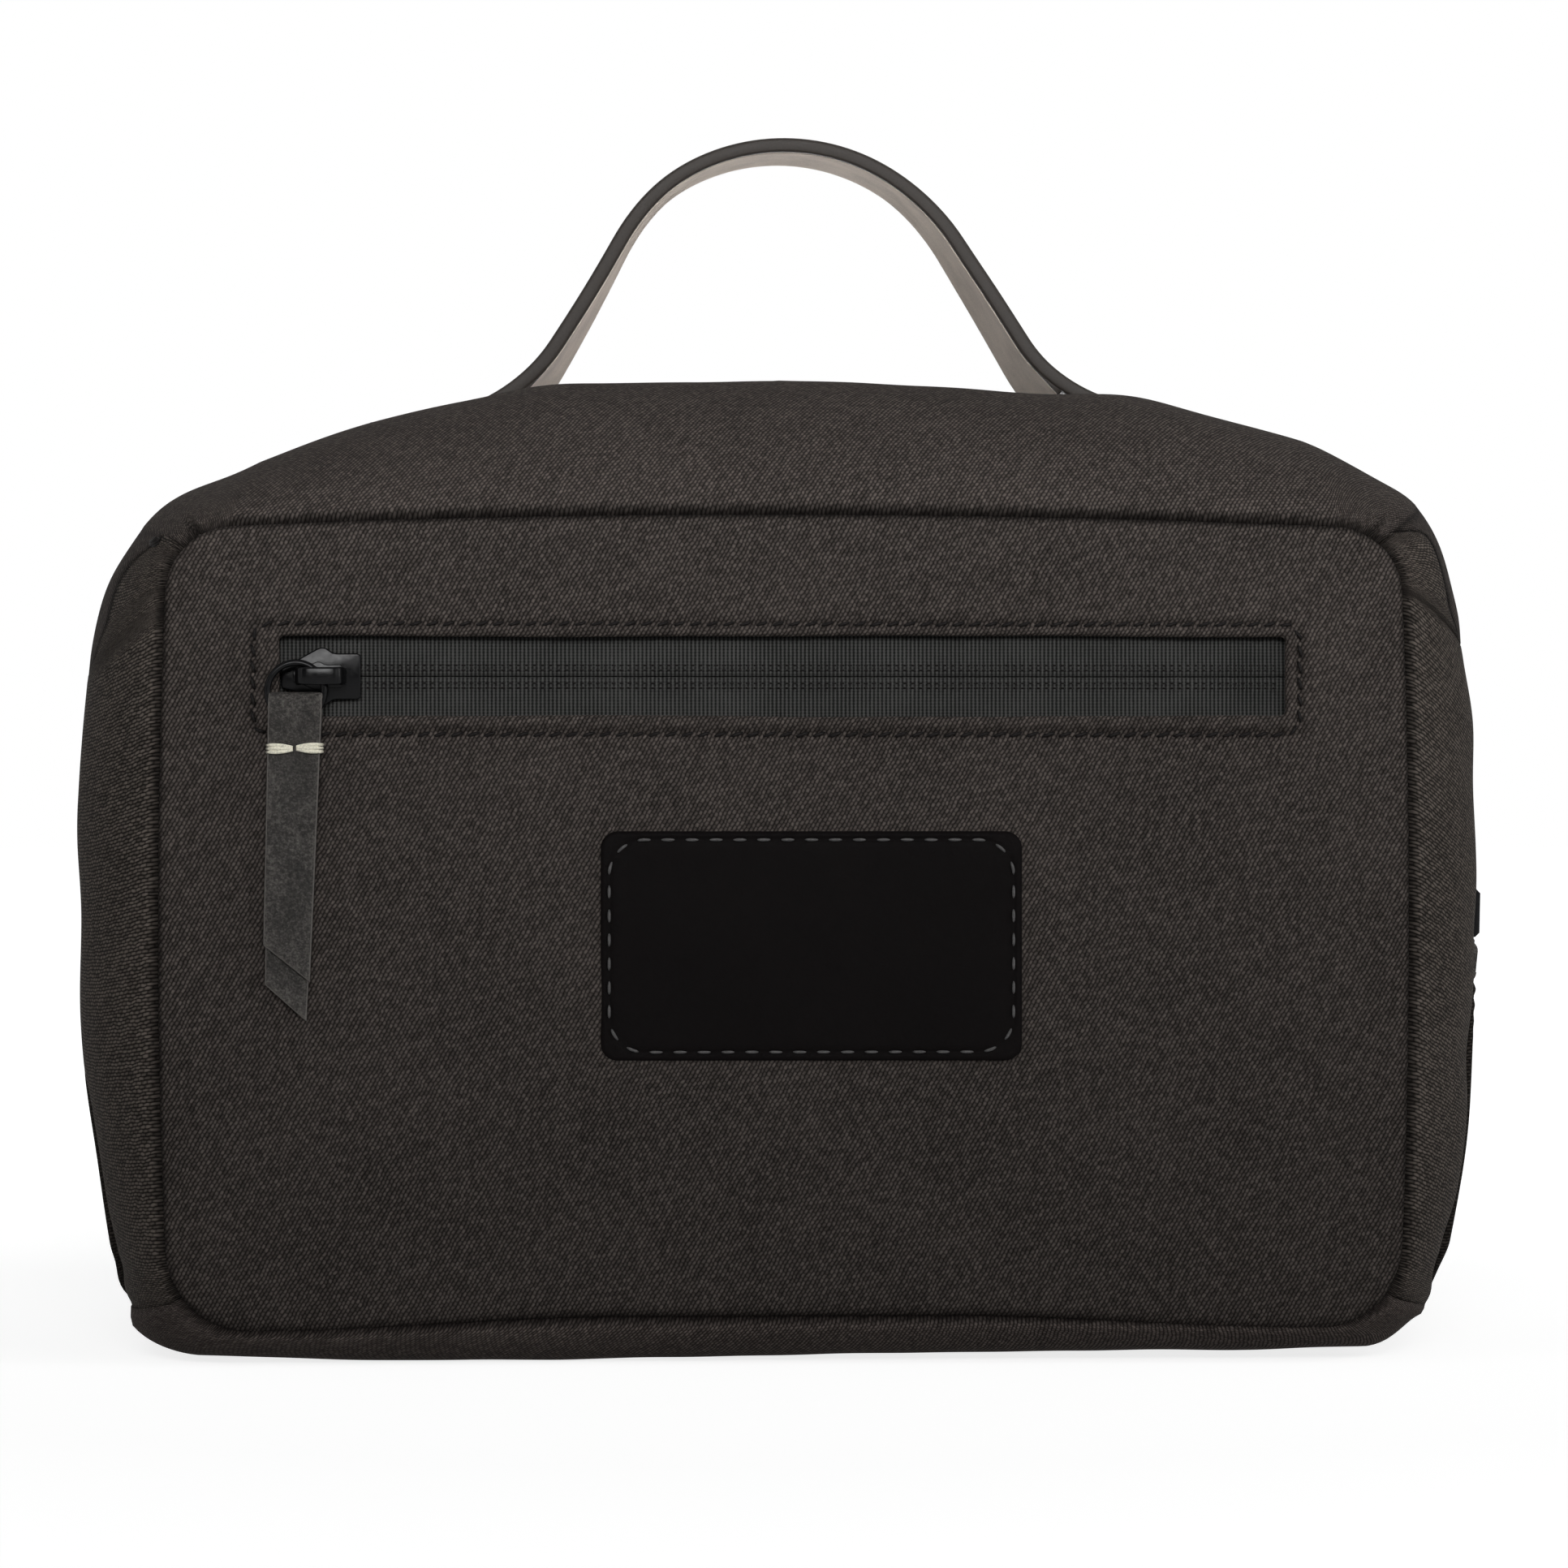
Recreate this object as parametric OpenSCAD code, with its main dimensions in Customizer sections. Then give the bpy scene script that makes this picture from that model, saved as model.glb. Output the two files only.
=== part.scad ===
// Soft shaving kit bag: two padded shells, a zip round their mouth, a zipped
// front pocket with a leather pull, a leather patch and an arched handle.
// X runs along the bag, Y from its front to its back, Z up from the table.

/* [Bag] */
// Height of the closed bag without its handle
bag_h = 178; // [165:1:195]
// Half of the bag's greatest width
half_w = 129.5; // [122:0.5:140]
// Distance from the main zip to the outer face of either panel
half_d = 55; // [48:1:62]
// Radius of the crowned top
crown_r = 370; // [300:5:600]
// Radius of the upper corners at the main zip
upper_r = 44; // [30:1:50]
// Radius of the bulging sides
side_r = 500; // [400:10:900]
// Height at which the bag is widest
widest_z = 90; // [70:1:100]
// Radius of the lower corners at the main zip
lower_r = 20; // [14:1:28]

/* [Panels] */
// Half of a panel's width
panel_half_w = 110.75; // [104:0.25:116]
// Height of a panel's upper seam at its middle
panel_top_z = 150.5; // [142:0.5:158]
// Height of a panel's lower seam
panel_low_z = 6.3; // [4:0.1:9]
// Radius of a panel's upper corners
panel_upper_r = 13; // [8:1:20]
// Radius of a panel's lower corners
panel_lower_r = 16; // [8:1:20]
// Radius of a panel's nearly straight upper seam
panel_crown_r = 2500; // [1500:100:5000]
// Radius of a panel's nearly straight side seams
panel_side_r = 1500; // [1000:100:5000]

/* [Cloth] */
// Thickness of the padded outer cloth
cloth_t = 2; // [1.4:0.1:2.6]
// Thickness of the turned edge of the cloth beside the main zip
hem_t = 3.6; // [3:0.1:4]
// Thickness of the lining
lining_t = 0.8; // [0.5:0.1:1.2]
// Gap left in every seam and between layers
seam_gap = 0.3; // [0.2:0.05:0.4]
// Slope at which the side cloth leaves a panel's seam
seam_turn = 25; // [10:1:40]
// Width of the flat turned edge beside the main zip
hem_w = 3; // [2:0.5:6]
// Depth over which the base cloth curves away from a panel
base_run = 13; // [9:1:18]
// Thickness of the stiff board in the base
board_t = 1.5; // [1:0.1:2.5]

/* [Main zip] */
// Width of the groove that the main zip lies in
groove_w = 12; // [11.8:0.1:13]
// Height of the lower ends of the main zip
zip_end_z = 7; // [5:0.5:12]
// Height of the main slider at rest
main_slider_z = 79; // [77:1:100]

/* [Zip chain] */
// Thickness of a zip tape
tape_t = 0.6; // [0.4:0.1:0.8]
// Thickness of a zip coil
coil_t = 1.2; // [1:0.1:1.4]
// Distance from the chain's middle to a coil's outer edge
coil_reach = 2.7; // [2.4:0.1:3]
// Width of the slit between the two coils
coil_slit = 1; // [0.8:0.1:1.2]
// Spacing of the coil's teeth
tooth_pitch = 1.4; // [1.2:0.1:2]

/* [Front pocket] */
// Left edge of the pocket's window
window_left = -89.4; // [-94:0.2:-86]
// Right edge of the pocket's window
window_right = 88.5; // [80:0.5:92]
// Height of the pocket zip's middle
pocket_zip_z = 122; // [115:0.5:128]
// Height of the pocket's window
window_h = 14; // [12:0.5:16]
// Width of each pocket zip tape
pocket_tape_w = 11; // [9:0.5:12]
// Height of the pocket bag's lower edge
pocket_low_z = 30; // [20:1:60]

/* [Sliders] */
// Length of a slider
slider_l = 14; // [12:0.5:15]
// Width of a slider at its shoulders
slider_w = 10.3; // [9.5:0.1:10.4]
// Thickness of a slider's plates
plate_t = 1.1; // [0.9:0.1:1.3]
// Length of the bail over a slider
bail_l = 9; // [8:0.1:10]
// Width of the bail
bail_w = 2.2; // [1.8:0.1:2.6]

/* [Pulls] */
// Radius of the pull ring, to the middle of its wire
ring_r = 5; // [4.8:0.1:5.6]
// Diameter of the pull ring's wire
wire_d = 1.2; // [1:0.1:1.3]
// Angle from the bail down to the pocket ring's centre
ring_hang = 32; // [25:1:40]
// Width of a leather pull
pull_w = 9; // [8:0.1:9.2]
// Length of a leather pull's longer leaf
pull_l = 58; // [40:1:60]
// How much shorter the pull's front leaf is
leaf_step = 7; // [3:0.5:12]
// Rise of a leaf's slanted end across the pull
leaf_slant = 6.5; // [0:0.5:9]
// Thickness of the pull's leather
pull_t = 1; // [0.8:0.1:1.1]
// Inward lean of the main pull into its groove
main_pull_lean = 4.5; // [3:0.5:5]

/* [Patch] */
// Width of the leather patch
patch_w = 74.5; // [60:0.5:90]
// Height of the leather patch
patch_h = 40.5; // [30:0.5:45]
// Radius of the patch's corners
patch_r = 3; // [1:0.5:6]
// Thickness of the patch
patch_t = 0.9; // [0.6:0.1:1]
// Distance of the patch's middle to the right of the bag's
patch_x = 4.5; // [-10:0.5:10]
// Height of the patch's middle
patch_z = 74.4; // [60:0.2:80]

/* [Handle] */
// Rise of the handle above the bag
handle_rise = 46.7; // [40:0.1:60]
// Width of the handle strap
strap_w = 24; // [18:1:26]
// Distance of the strap's middle behind the main zip
handle_y = 26; // [22:0.5:30]
// Thickness of the strap's outer leather
strap_t = 1.6; // [1.2:0.1:2.2]
// Thickness of the pale lining under the strap
strap_lining_t = 1.3; // [1:0.1:1.8]
// Radius of the handle's top
handle_r = 36.8; // [30:0.2:42]
// Steepest slope of the handle's legs
leg_slope = 60; // [50:1:70]
// Radius of the bend from each leg to its foot
foot_r = 24; // [18:1:30]
// Length of each sewn-down foot
foot_l = 13; // [8:1:20]

/* [Hidden] */

// Which way each half faces along Y
FRONT = -1;
REAR = 1;

// Colours
CANVAS = [0.22, 0.20, 0.19];
LINING = [0.45, 0.43, 0.40];
TAPE = [0.17, 0.17, 0.17];
COIL = [0.12, 0.12, 0.13];
LEATHER = [0.15, 0.14, 0.14];
SUEDE = [0.58, 0.55, 0.51];
BLACK_METAL = [0.08, 0.08, 0.09];

// An outline is [half width, top z, low z, crown r, upper r, side r, widest z, lower r]
ridge_outline = [half_w, bag_h, 0, crown_r, upper_r, side_r, widest_z, lower_r];
panel_outline = [
    panel_half_w, panel_top_z, panel_low_z, panel_crown_r, panel_upper_r, panel_side_r,
    (panel_top_z + panel_low_z) / 2, panel_lower_r
];

// Faces and layers, measured from the main zip's plane
panel_back = half_d - cloth_t;
lip_face = panel_back - seam_gap;
edge_y = groove_w / 2;
side_run = half_d - edge_y - hem_w;
tape_inset = hem_t + seam_gap;
turn_steps = 5;
turns = [for (k = [0:turn_steps]) seam_turn + (90 - seam_turn) * k / turn_steps];
row_n = len(turns) + 1;
// Steps in each stretch of an outline, from the top's middle to the base's middle
stretch_steps = [5, 7, 6, 5, 4];
gusset_seam_share = 1.5;
seam_open_share = 0.004;

// Window, chain and layers of the pocket zip, from the front face inwards
window_r = 1;
window_mid = (window_left + window_right) / 2;
window_w = window_right - window_left;
stop_l = 2.6;
stop_room = 0.2;
chain_left = window_left + 1.4;
chain_right = window_right - 2.5;
tape_run = 4;
pocket_tape_y = lip_face;
pocket_coil_y = pocket_tape_y - tape_t;
pocket_bag_y = pocket_coil_y - coil_t - seam_gap - plate_t - seam_gap;
pocket_wall = 0.5;
front_sheet = pocket_bag_y - pocket_wall - seam_gap;
rear_sheet = lip_face;

// Pulls and bails: a ring stands off its tape by enough for its pull to clear what lies
// behind it, which is the slider's plate and, on the front, the panel and the patch
ring_gap = 0.2;
fold_r = wire_d / 2 + ring_gap;
half_slit = 0.05;
bail_t = 1.1;
bail_base = seam_gap + plate_t;
ring_out = bail_base + seam_gap + fold_r + pull_t;
main_ring_out = ring_out + slider_l / 2 * sin(main_pull_lean);
pocket_ring_out = max(
    ring_out,
    half_d - pocket_tape_y + seam_gap + fold_r + pull_t,
    half_d - pocket_tape_y + patch_t + seam_gap + half_slit + pull_t
);
main_side_angle = asin((main_slider_z - widest_z) / (side_r - tape_inset));

// ---------------------------------------------------------------- outlines

function side_centre(o) = [o[0] - o[5], o[6]];
function crown_centre(o) = [0, o[1] - o[3]];
function lower_centre(o) =
    let (z = o[2] + o[7], reach = o[5] - o[7])
    [o[0] - o[5] + sqrt(reach * reach - (z - o[6]) * (z - o[6])), z];

// Centre of the corner circle that touches both the crown and the side from inside
function upper_centre(o) =
    let (c = crown_centre(o), s = side_centre(o), rc = o[3] - o[4], rs = o[5] - o[4])
    let (d = norm(s - c), along = (rc * rc - rs * rs + d * d) / (2 * d))
    let (u = (s - c) / d, off = sqrt(rc * rc - along * along))
    c + u * along + off * [u[1], -u[0]];

function heading(from, to) = atan2(to[1] - from[1], to[0] - from[0]);
function mix(a, b, f) = a + (b - a) * f;
function on_circle(c, r, a) = c + r * [cos(a), sin(a)];

// Point of an outline's right half, drawn in by inset: s is 0 at the top's middle,
// 1 to 2 round the upper corner, 2 to 3 down the side, 3 to 4 round the lower corner
// and 5 at the base's middle
function right_point(o, s, inset) =
    let (k = upper_centre(o), b = lower_centre(o))
    let (top_a = heading(crown_centre(o), k), side_a = heading(side_centre(o), k))
    let (low_a = heading(side_centre(o), b))
    s < 1 ? on_circle(crown_centre(o), o[3] - inset, mix(90, top_a, s))
    : s < 2 ? on_circle(k, o[4] - inset, mix(top_a, side_a, s - 1))
    : s < 3 ? on_circle(side_centre(o), o[5] - inset, mix(side_a, low_a, s - 2))
    : s < 4 ? on_circle(b, o[7] - inset, mix(low_a, -90, s - 3))
    : [mix(b[0], 0, s - 4), o[2] + inset];

// The left half mirrors the right one and takes negative values of s
function on_outline(o, s, inset = 0) =
    let (p = right_point(o, abs(s), inset))
    [s < 0 ? -p[0] : p[0], p[1]];

half_marks = [
    for (k = [0:4], i = [0:stretch_steps[k] - 1]) k + i / stretch_steps[k]
];
marks = concat(
    [for (i = [len(half_marks) - 1:-1:1]) -half_marks[i]],
    half_marks
);
function between(a, b) = concat(
    [a],
    [for (s = marks) if (s > a + seam_open_share && s < b - seam_open_share) s],
    [b]
);
function reversed(list) = [for (i = [len(list) - 1:-1:0]) list[i]];

// Where the main zip ends in the lower corner
zip_low_angle = asin((zip_end_z - lower_r) / lower_r);
side_low_angle = heading(side_centre(ridge_outline), lower_centre(ridge_outline));
zip_s = 3 + (zip_low_angle - side_low_angle) / (-90 - side_low_angle);
base_mid = len(stretch_steps);
base_stations = concat(
    between(zip_s + seam_open_share, base_mid),
    between(-base_mid + seam_open_share, -zip_s - seam_open_share)
);

// ------------------------------------------------------------- cloth shells

function rise(t) = (sin(t) - sin(seam_turn)) / (1 - sin(seam_turn));
function reach(t) = (cos(seam_turn) - cos(t)) / cos(seam_turn);
function ease(f) = f * f * (3 - 2 * f);
function run_depth(s) =
    abs(s) <= 3 ? side_run
    : abs(s) >= 4 ? base_run
    : mix(side_run, base_run, ease(abs(s) - 3));

// One line of the shell from a panel's seam to the edge beside the main zip
function shell_row(s, side, inset, hem, face, edge) = concat(
    [for (t = turns)
        let (d = t == 90 ? hem : inset)
        let (p = mix(on_outline(panel_outline, s, d), on_outline(ridge_outline, s, d), rise(t)))
        [p[0], side * (face - (run_depth(s) - (half_d - face)) * reach(t)), p[1]]],
    [let (p = on_outline(ridge_outline, s, hem)) [p[0], side * edge, p[1]]]
);
function lip_point(s, side) =
    let (p = on_outline(panel_outline, s))
    [p[0], side * lip_face, p[1]];

// Closed solid swept through rows of points; caps holds the triangles of its first end
module swept(rows, caps, flip) {
    n = len(rows[0]);
    last = (len(rows) - 1) * n;
    walls = [
        for (i = [0:len(rows) - 2], j = [0:n - 1])
            let (a = i * n + j, b = i * n + (j + 1) % n)
            each [[a, b, b + n], [a, b + n, a + n]]
    ];
    faces = concat(
        walls,
        [for (c = caps) [c[2], c[1], c[0]]],
        [for (c = caps) [c[0] + last, c[1] + last, c[2] + last]]
    );
    polyhedron(
        points = [for (r = rows) each r],
        faces = flip ? [for (f = faces) reversed(f)] : faces
    );
}

// Strip of padded cloth between two places of the outline
module gusset(side, from, to) {
    rows = [for (s = between(from, to)) concat(
        shell_row(s, side, 0, 0, half_d, edge_y),
        reversed(shell_row(s, side, cloth_t, hem_t, lip_face, edge_y)),
        [lip_point(s, side)]
    )];
    far = 2 * row_n - 1;
    lip = far + 1;
    caps = concat(
        [for (j = [1:row_n - 2]) each [[j, j + 1, far - j - 1], [j, far - j - 1, far - j]]],
        [[0, 1, lip], [1, far - 1, lip], [far - 1, far, lip]]
    );
    swept(rows, caps, side == REAR);
}

// The base crosses the main zip's plane in one piece, below the zip's ends
module base_cloth() {
    rows = [for (s = base_stations) concat(
        shell_row(s, FRONT, 0, 0, half_d, edge_y),
        reversed(shell_row(s, REAR, 0, 0, half_d, edge_y)),
        [lip_point(s, REAR)],
        shell_row(s, REAR, cloth_t, cloth_t, lip_face, edge_y),
        reversed(shell_row(s, FRONT, cloth_t, cloth_t, lip_face, edge_y)),
        [lip_point(s, FRONT)]
    )];
    n = row_n;
    rear_lip = 2 * n;
    rear_in = rear_lip + 1;
    front_in = 4 * n;
    front_lip = front_in + 1;
    caps = concat(
        [for (j = [1:n - 2]) each [
            [j, j + 1, front_in - j - 1],
            [j, front_in - j - 1, front_in - j],
            [rear_in + j, rear_in + j + 1, rear_lip - 2 - j],
            [rear_in + j, rear_lip - 2 - j, rear_lip - 1 - j]
        ]],
        [
            [n - 1, n, rear_in + n - 1],
            [n - 1, rear_in + n - 1, front_in - n + 1],
            [0, 1, front_lip],
            [1, front_in - 1, front_lip],
            [front_in - 1, front_in, front_lip],
            [rear_lip, rear_in, rear_in + 1],
            [rear_lip, rear_in + 1, rear_lip - 2],
            [rear_lip, rear_lip - 2, rear_lip - 1]
        ]
    );
    swept(rows, caps, false);
}

// Thin tray that lines one half: a sheet behind the panel and walls under the cloth
module lining_tray(side, sheet) {
    inset = cloth_t + seam_gap;
    hem = tape_inset + tape_t + seam_gap;
    edge = edge_y + seam_gap;
    stations = between(-zip_s, zip_s);
    n = len(stations);
    outer = [for (s = stations) shell_row(s, side, inset, hem, sheet, edge)];
    inner = [for (s = stations)
        shell_row(s, side, inset + lining_t, hem + lining_t, sheet - lining_t, edge)];
    base = n * row_n;
    last = row_n - 1;
    grid = [
        for (i = [0:n - 2], j = [0:row_n - 2])
            let (a = i * row_n + j)
            each [
                [a, a + 1, a + row_n],
                [a + 1, a + row_n + 1, a + row_n],
                [base + a, base + a + row_n, base + a + 1],
                [base + a + 1, base + a + row_n, base + a + row_n + 1]
            ]
    ];
    rim = [
        for (i = [0:n - 2])
            let (a = i * row_n + last, b = a + row_n)
            each [[a, base + a, base + b], [a, base + b, b]]
    ];
    ends = [
        for (j = [0:row_n - 2])
            let (z = (n - 1) * row_n + j)
            each [
                [j, base + j, base + j + 1],
                [j, base + j + 1, j + 1],
                [z, z + 1, base + z + 1],
                [z, base + z + 1, base + z]
            ]
    ];
    sheets = [
        [for (i = [0:n - 1]) i * row_n],
        [for (i = [n - 1:-1:0]) base + i * row_n],
        [0, (n - 1) * row_n, base + (n - 1) * row_n],
        [0, base + (n - 1) * row_n, base]
    ];
    faces = concat(grid, rim, ends, sheets);
    polyhedron(
        points = concat([for (r = outer) each r], [for (r = inner) each r]),
        faces = side == REAR ? [for (f = faces) reversed(f)] : faces
    );
}

// Raises a drawing in X and Z into a solid between two places along Y
module along_y(y0, y1) {
    translate([0, max(y0, y1), 0])
        rotate([90, 0, 0])
            linear_extrude(abs(y1 - y0))
                children();
}

// Strip that follows the main zip's outline between two insets
module outline_strip(from, to, inset, depth) {
    stations = between(from, to);
    polygon(concat(
        [for (s = stations) on_outline(ridge_outline, s, inset)],
        [for (s = reversed(stations)) on_outline(ridge_outline, s, inset + depth)]
    ));
}

function round_rect(w, h, r, steps = 6) = [
    for (q = [0:3], i = [0:steps])
        let (a = 90 * (q + i / steps))
        let (cx = (q == 0 || q == 3 ? 1 : -1) * (w / 2 - r), cz = (q < 2 ? 1 : -1) * (h / 2 - r))
        [cx + r * cos(a), cz + r * sin(a)]
];

module panel_shape() {
    stations = between(-base_mid + seam_open_share, base_mid);
    polygon([for (s = stations) on_outline(panel_outline, s, seam_gap)]);
}

// --------------------------------------------------------------- zip pieces

// Length of a tooth, and the shares of the pitch that its flank and its tip take
tooth_l = 0.6;
flank_share = 0.2;
tip_share = 0.4;

// Toothed half of the pocket's chain, above its middle
module tooth_row() {
    root = coil_slit / 2 + tooth_l;
    count = floor((chain_right - chain_left) / tooth_pitch);
    teeth = [
        for (i = [0:count - 1])
            let (x = chain_left + i * tooth_pitch)
            each [
                [x, root],
                [x + tooth_pitch * flank_share, coil_slit / 2],
                [x + tooth_pitch * (flank_share + tip_share), coil_slit / 2],
                [x + tooth_pitch * (2 * flank_share + tip_share), root]
            ]
    ];
    polygon(concat([[chain_left, coil_reach]], teeth, [[chain_right, root], [chain_right, coil_reach]]));
}

module pocket_tape() {
    along_y(FRONT * pocket_tape_y, FRONT * pocket_coil_y)
        translate([window_left - tape_run, pocket_zip_z + coil_slit / 2])
            square([window_w + 2 * tape_run, pocket_tape_w]);
}

module pocket_coil() {
    along_y(FRONT * pocket_coil_y, FRONT * (pocket_coil_y - coil_t))
        translate([0, pocket_zip_z])
            tooth_row();
}

// Mirrors a drawing in the pocket zip's middle plane
module below_zip() {
    translate([0, 0, 2 * pocket_zip_z])
        mirror([0, 0, 1])
            children();
}

// Outline of a slider's plates: a blunt nose, wide shoulders and a narrower tail
module slider_shape() {
    half = [
        [-0.5, 0.36], [-0.47, 0.44], [-0.33, 0.52], [-0.04, 0.96], [0.02, 1],
        [0.08, 0.97], [0.17, 0.8], [0.46, 0.79], [0.5, 0.74]
    ];
    polygon(concat(
        [for (p = half) [p[0] * slider_l, p[1] * slider_w / 2]],
        [for (p = reversed(half)) [p[0] * slider_l, -p[1] * slider_w / 2]]
    ));
}

// Bail's legs and corners, the post between a slider's plates and the rims of its plates
bail_leg = 1.2;
bail_bevel = 0.8;
post_l = 2.4;
post_inset = 0.8;
rim_w = 0.9;

// Slider in its own frame: X along the chain with its nose at -X, Y = 0 on the tape's
// outer face and -Y outwards
module slider(ring_out, rimmed) {
    inner_face = tape_t + coil_t + seam_gap;
    inner_mid = inner_face + plate_t / 2;
    bail_inside = ring_out + wire_d / 2 + seam_gap;
    bail_top = bail_inside + bail_t;
    along_y(-seam_gap, -bail_base)
        slider_shape();
    along_y(inner_face, inner_face + plate_t)
        slider_shape();
    along_y(-seam_gap - plate_t / 2, inner_mid)
        translate([post_inset - slider_l / 2, ring_gap - coil_slit / 2])
            square([post_l, coil_slit - 2 * ring_gap]);
    if (rimmed)
        along_y(tape_t + seam_gap, inner_mid)
            intersection() {
                slider_shape();
                for (up = [-1, 1])
                    translate([0, up * (coil_reach + seam_gap + rim_w / 2)])
                        square([slider_l, rim_w], center = true);
            }
    difference() {
        translate([0, 0, -bail_w / 2])
            linear_extrude(bail_w)
                polygon([
                    [-bail_l / 2, plate_t / 2 - bail_base], [-bail_l / 2, bail_bevel - bail_top],
                    [bail_bevel - bail_l / 2, -bail_top], [bail_l / 2 - bail_bevel, -bail_top],
                    [bail_l / 2, bail_bevel - bail_top], [bail_l / 2, plate_t / 2 - bail_base]
                ]);
        along_y(-bail_base, -bail_inside)
            square([bail_l - 2 * bail_leg, 2 * bail_w], center = true);
    }
}

// Wire ring in the XZ plane round the origin
module wire_ring(thickness) {
    rotate([90, 0, 0])
        rotate_extrude($fn = 96)
            translate([ring_r, 0])
                circle(d = thickness, $fn = 24);
}

// Length over which the pull's leaves close below the ring
neck_l = 3;
fold_steps = 12;

// Folded leather strip that hangs from a ring whose centre is at the origin
module leather_pull() {
    chord_z = -sqrt(ring_r * ring_r - pull_w * pull_w / 4) + ring_gap;
    fold_out = fold_r + pull_t;
    neck_z = -ring_r - wire_d;
    join_z = neck_z - neck_l;
    tip_z = chord_z + fold_out - pull_l;
    arc_out = [for (i = [0:fold_steps])
        [-fold_out * cos(180 * i / fold_steps), chord_z + fold_out * sin(180 * i / fold_steps)]];
    arc_in = [for (i = [0:fold_steps])
        [fold_r * cos(180 * i / fold_steps), chord_z + fold_r * sin(180 * i / fold_steps)]];
    profile = concat(
        arc_out,
        [
            [fold_out, neck_z], [half_slit + pull_t, join_z], [half_slit + pull_t, tip_z],
            [half_slit, tip_z], [half_slit, join_z], [fold_r, neck_z]
        ],
        arc_in,
        [
            [-fold_r, neck_z], [-half_slit, join_z], [-half_slit, tip_z + leaf_step],
            [-half_slit - pull_t, tip_z + leaf_step], [-half_slit - pull_t, join_z],
            [-fold_out, neck_z]
        ]
    );
    difference() {
        rotate([90, 0, 90])
            translate([0, 0, -pull_w / 2])
                linear_extrude(pull_w)
                    polygon(profile);
        slanted_end(0, fold_out, tip_z);
        slanted_end(-fold_out, 0, tip_z + leaf_step);
        wire_ring(wire_d + 2 * ring_gap);
    }
}

// Wedge that cuts a leaf's end from its left edge down to its right edge
module slanted_end(y0, y1, low_z) {
    past = leaf_slant / pull_w;
    along_y(y0, y1)
        polygon([
            [-pull_w / 2 - 1, low_z - 1], [pull_w / 2 + 1, low_z - 1],
            [pull_w / 2 + 1, low_z - past], [-pull_w / 2 - 1, low_z + leaf_slant + past]
        ]);
}

pocket_slider_x = window_left + slider_l / 2 + seam_gap;
pocket_cross = [pocket_slider_x, -pocket_tape_y - pocket_ring_out, pocket_zip_z];
pocket_ring_at = pocket_cross - ring_r * [cos(ring_hang), 0, sin(ring_hang)];

// Puts a piece on the main zip's right side, with its own -Y outwards and its nose down
module on_side() {
    translate([half_w - side_r, 0, widest_z])
        rotate([0, -main_side_angle, 0])
            translate([side_r - tape_inset, 0, 0])
                children();
}
module outwards() {
    rotate([90, 0, 0])
        rotate([0, 0, 90])
            children();
}
// Puts the main ring's pieces below the bail, leaning into the groove
module below_bail() {
    on_side()
        translate([main_ring_out, 0, 0])
            rotate([0, main_pull_lean, 0])
                translate([0, 0, -ring_r])
                    rotate([0, 0, 90])
                        children();
}

// ------------------------------------------------------------------- handle

function crown_z(x, o = ridge_outline) = o[1] - o[3] + sqrt(o[3] * o[3] - x * x);

// Drop of the rear shell's top below its ridge, x from its middle and y behind the zip
function top_drop(x, y) =
    let (far = max(0, y - (half_d - side_run)) / side_run)
    let (t = acos(cos(seam_turn) * far))
    (crown_z(x) - crown_z(x, panel_outline)) * (1 - rise(t));
strap_total = strap_t + seam_gap / 2 + strap_lining_t;
foot_lift = strap_total + seam_gap;
leg_top_z = bag_h + handle_rise - handle_r * (1 - cos(leg_slope));

// Distance of the foot's start from the middle, found by repeating the leg's geometry
function leg_length(x) =
    let (a = asin(x / crown_r))
    (leg_top_z - crown_z(x) - foot_lift - foot_r * (cos(a) - cos(leg_slope))) / sin(leg_slope);
function foot_x(x, n) =
    n == 0 ? x
    : foot_x(
        handle_r * sin(leg_slope) + leg_length(x) * cos(leg_slope)
            + foot_r * (sin(leg_slope) - sin(asin(x / crown_r))),
        n - 1
    );
foot_start = foot_x(handle_r, 12);
foot_slope = asin(foot_start / crown_r);

// Middle line of the handle's outer face, as [x, z, slope], from its top to its right end
bow_steps = 10;
bend_steps = 6;
foot_steps = 2;
handle_line = concat(
    [for (i = [0:bow_steps])
        let (a = leg_slope * i / bow_steps)
        [handle_r * sin(a), bag_h + handle_rise - handle_r * (1 - cos(a)), a]],
    [for (i = [0:bend_steps])
        let (a = mix(leg_slope, foot_slope, i / bend_steps))
        [
            foot_start - foot_r * (sin(a) - sin(foot_slope)),
            crown_z(foot_start) + foot_lift + foot_r * (cos(foot_slope) - cos(a)),
            a
        ]],
    [for (i = [1:foot_steps])
        let (x = foot_start + foot_l * i / foot_steps * cos(foot_slope))
        [x, crown_z(x) + foot_lift, asin(x / crown_r)]]
);
handle_path = concat(
    [for (p = reversed(handle_line)) [-p[0], p[1], -p[2]]],
    [for (i = [1:len(handle_line) - 1]) handle_line[i]]
);
strap_steps = 4;

// The strap is flat at its top and settles on the sloping shell at its feet
function strap_side(p, depth) = [
    for (i = [0:strap_steps])
        let (y = handle_y + strap_w * (i / strap_steps - 0.5))
        let (settle = ease(min(1, abs(p[0]) / foot_start)))
        [p[0] - depth * sin(p[2]), y, p[1] - depth * cos(p[2]) - settle * top_drop(p[0], y)]
];
module strap_layer(depth, thickness) {
    far = 2 * strap_steps + 1;
    rows = [for (p = handle_path)
        concat(strap_side(p, depth), reversed(strap_side(p, depth + thickness)))];
    caps = [for (j = [0:strap_steps - 1])
        each [[j, j + 1, far - j - 1], [j, far - j - 1, far - j]]];
    swept(rows, caps, true);
}

// ------------------------------------------------------------- rear shell

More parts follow.
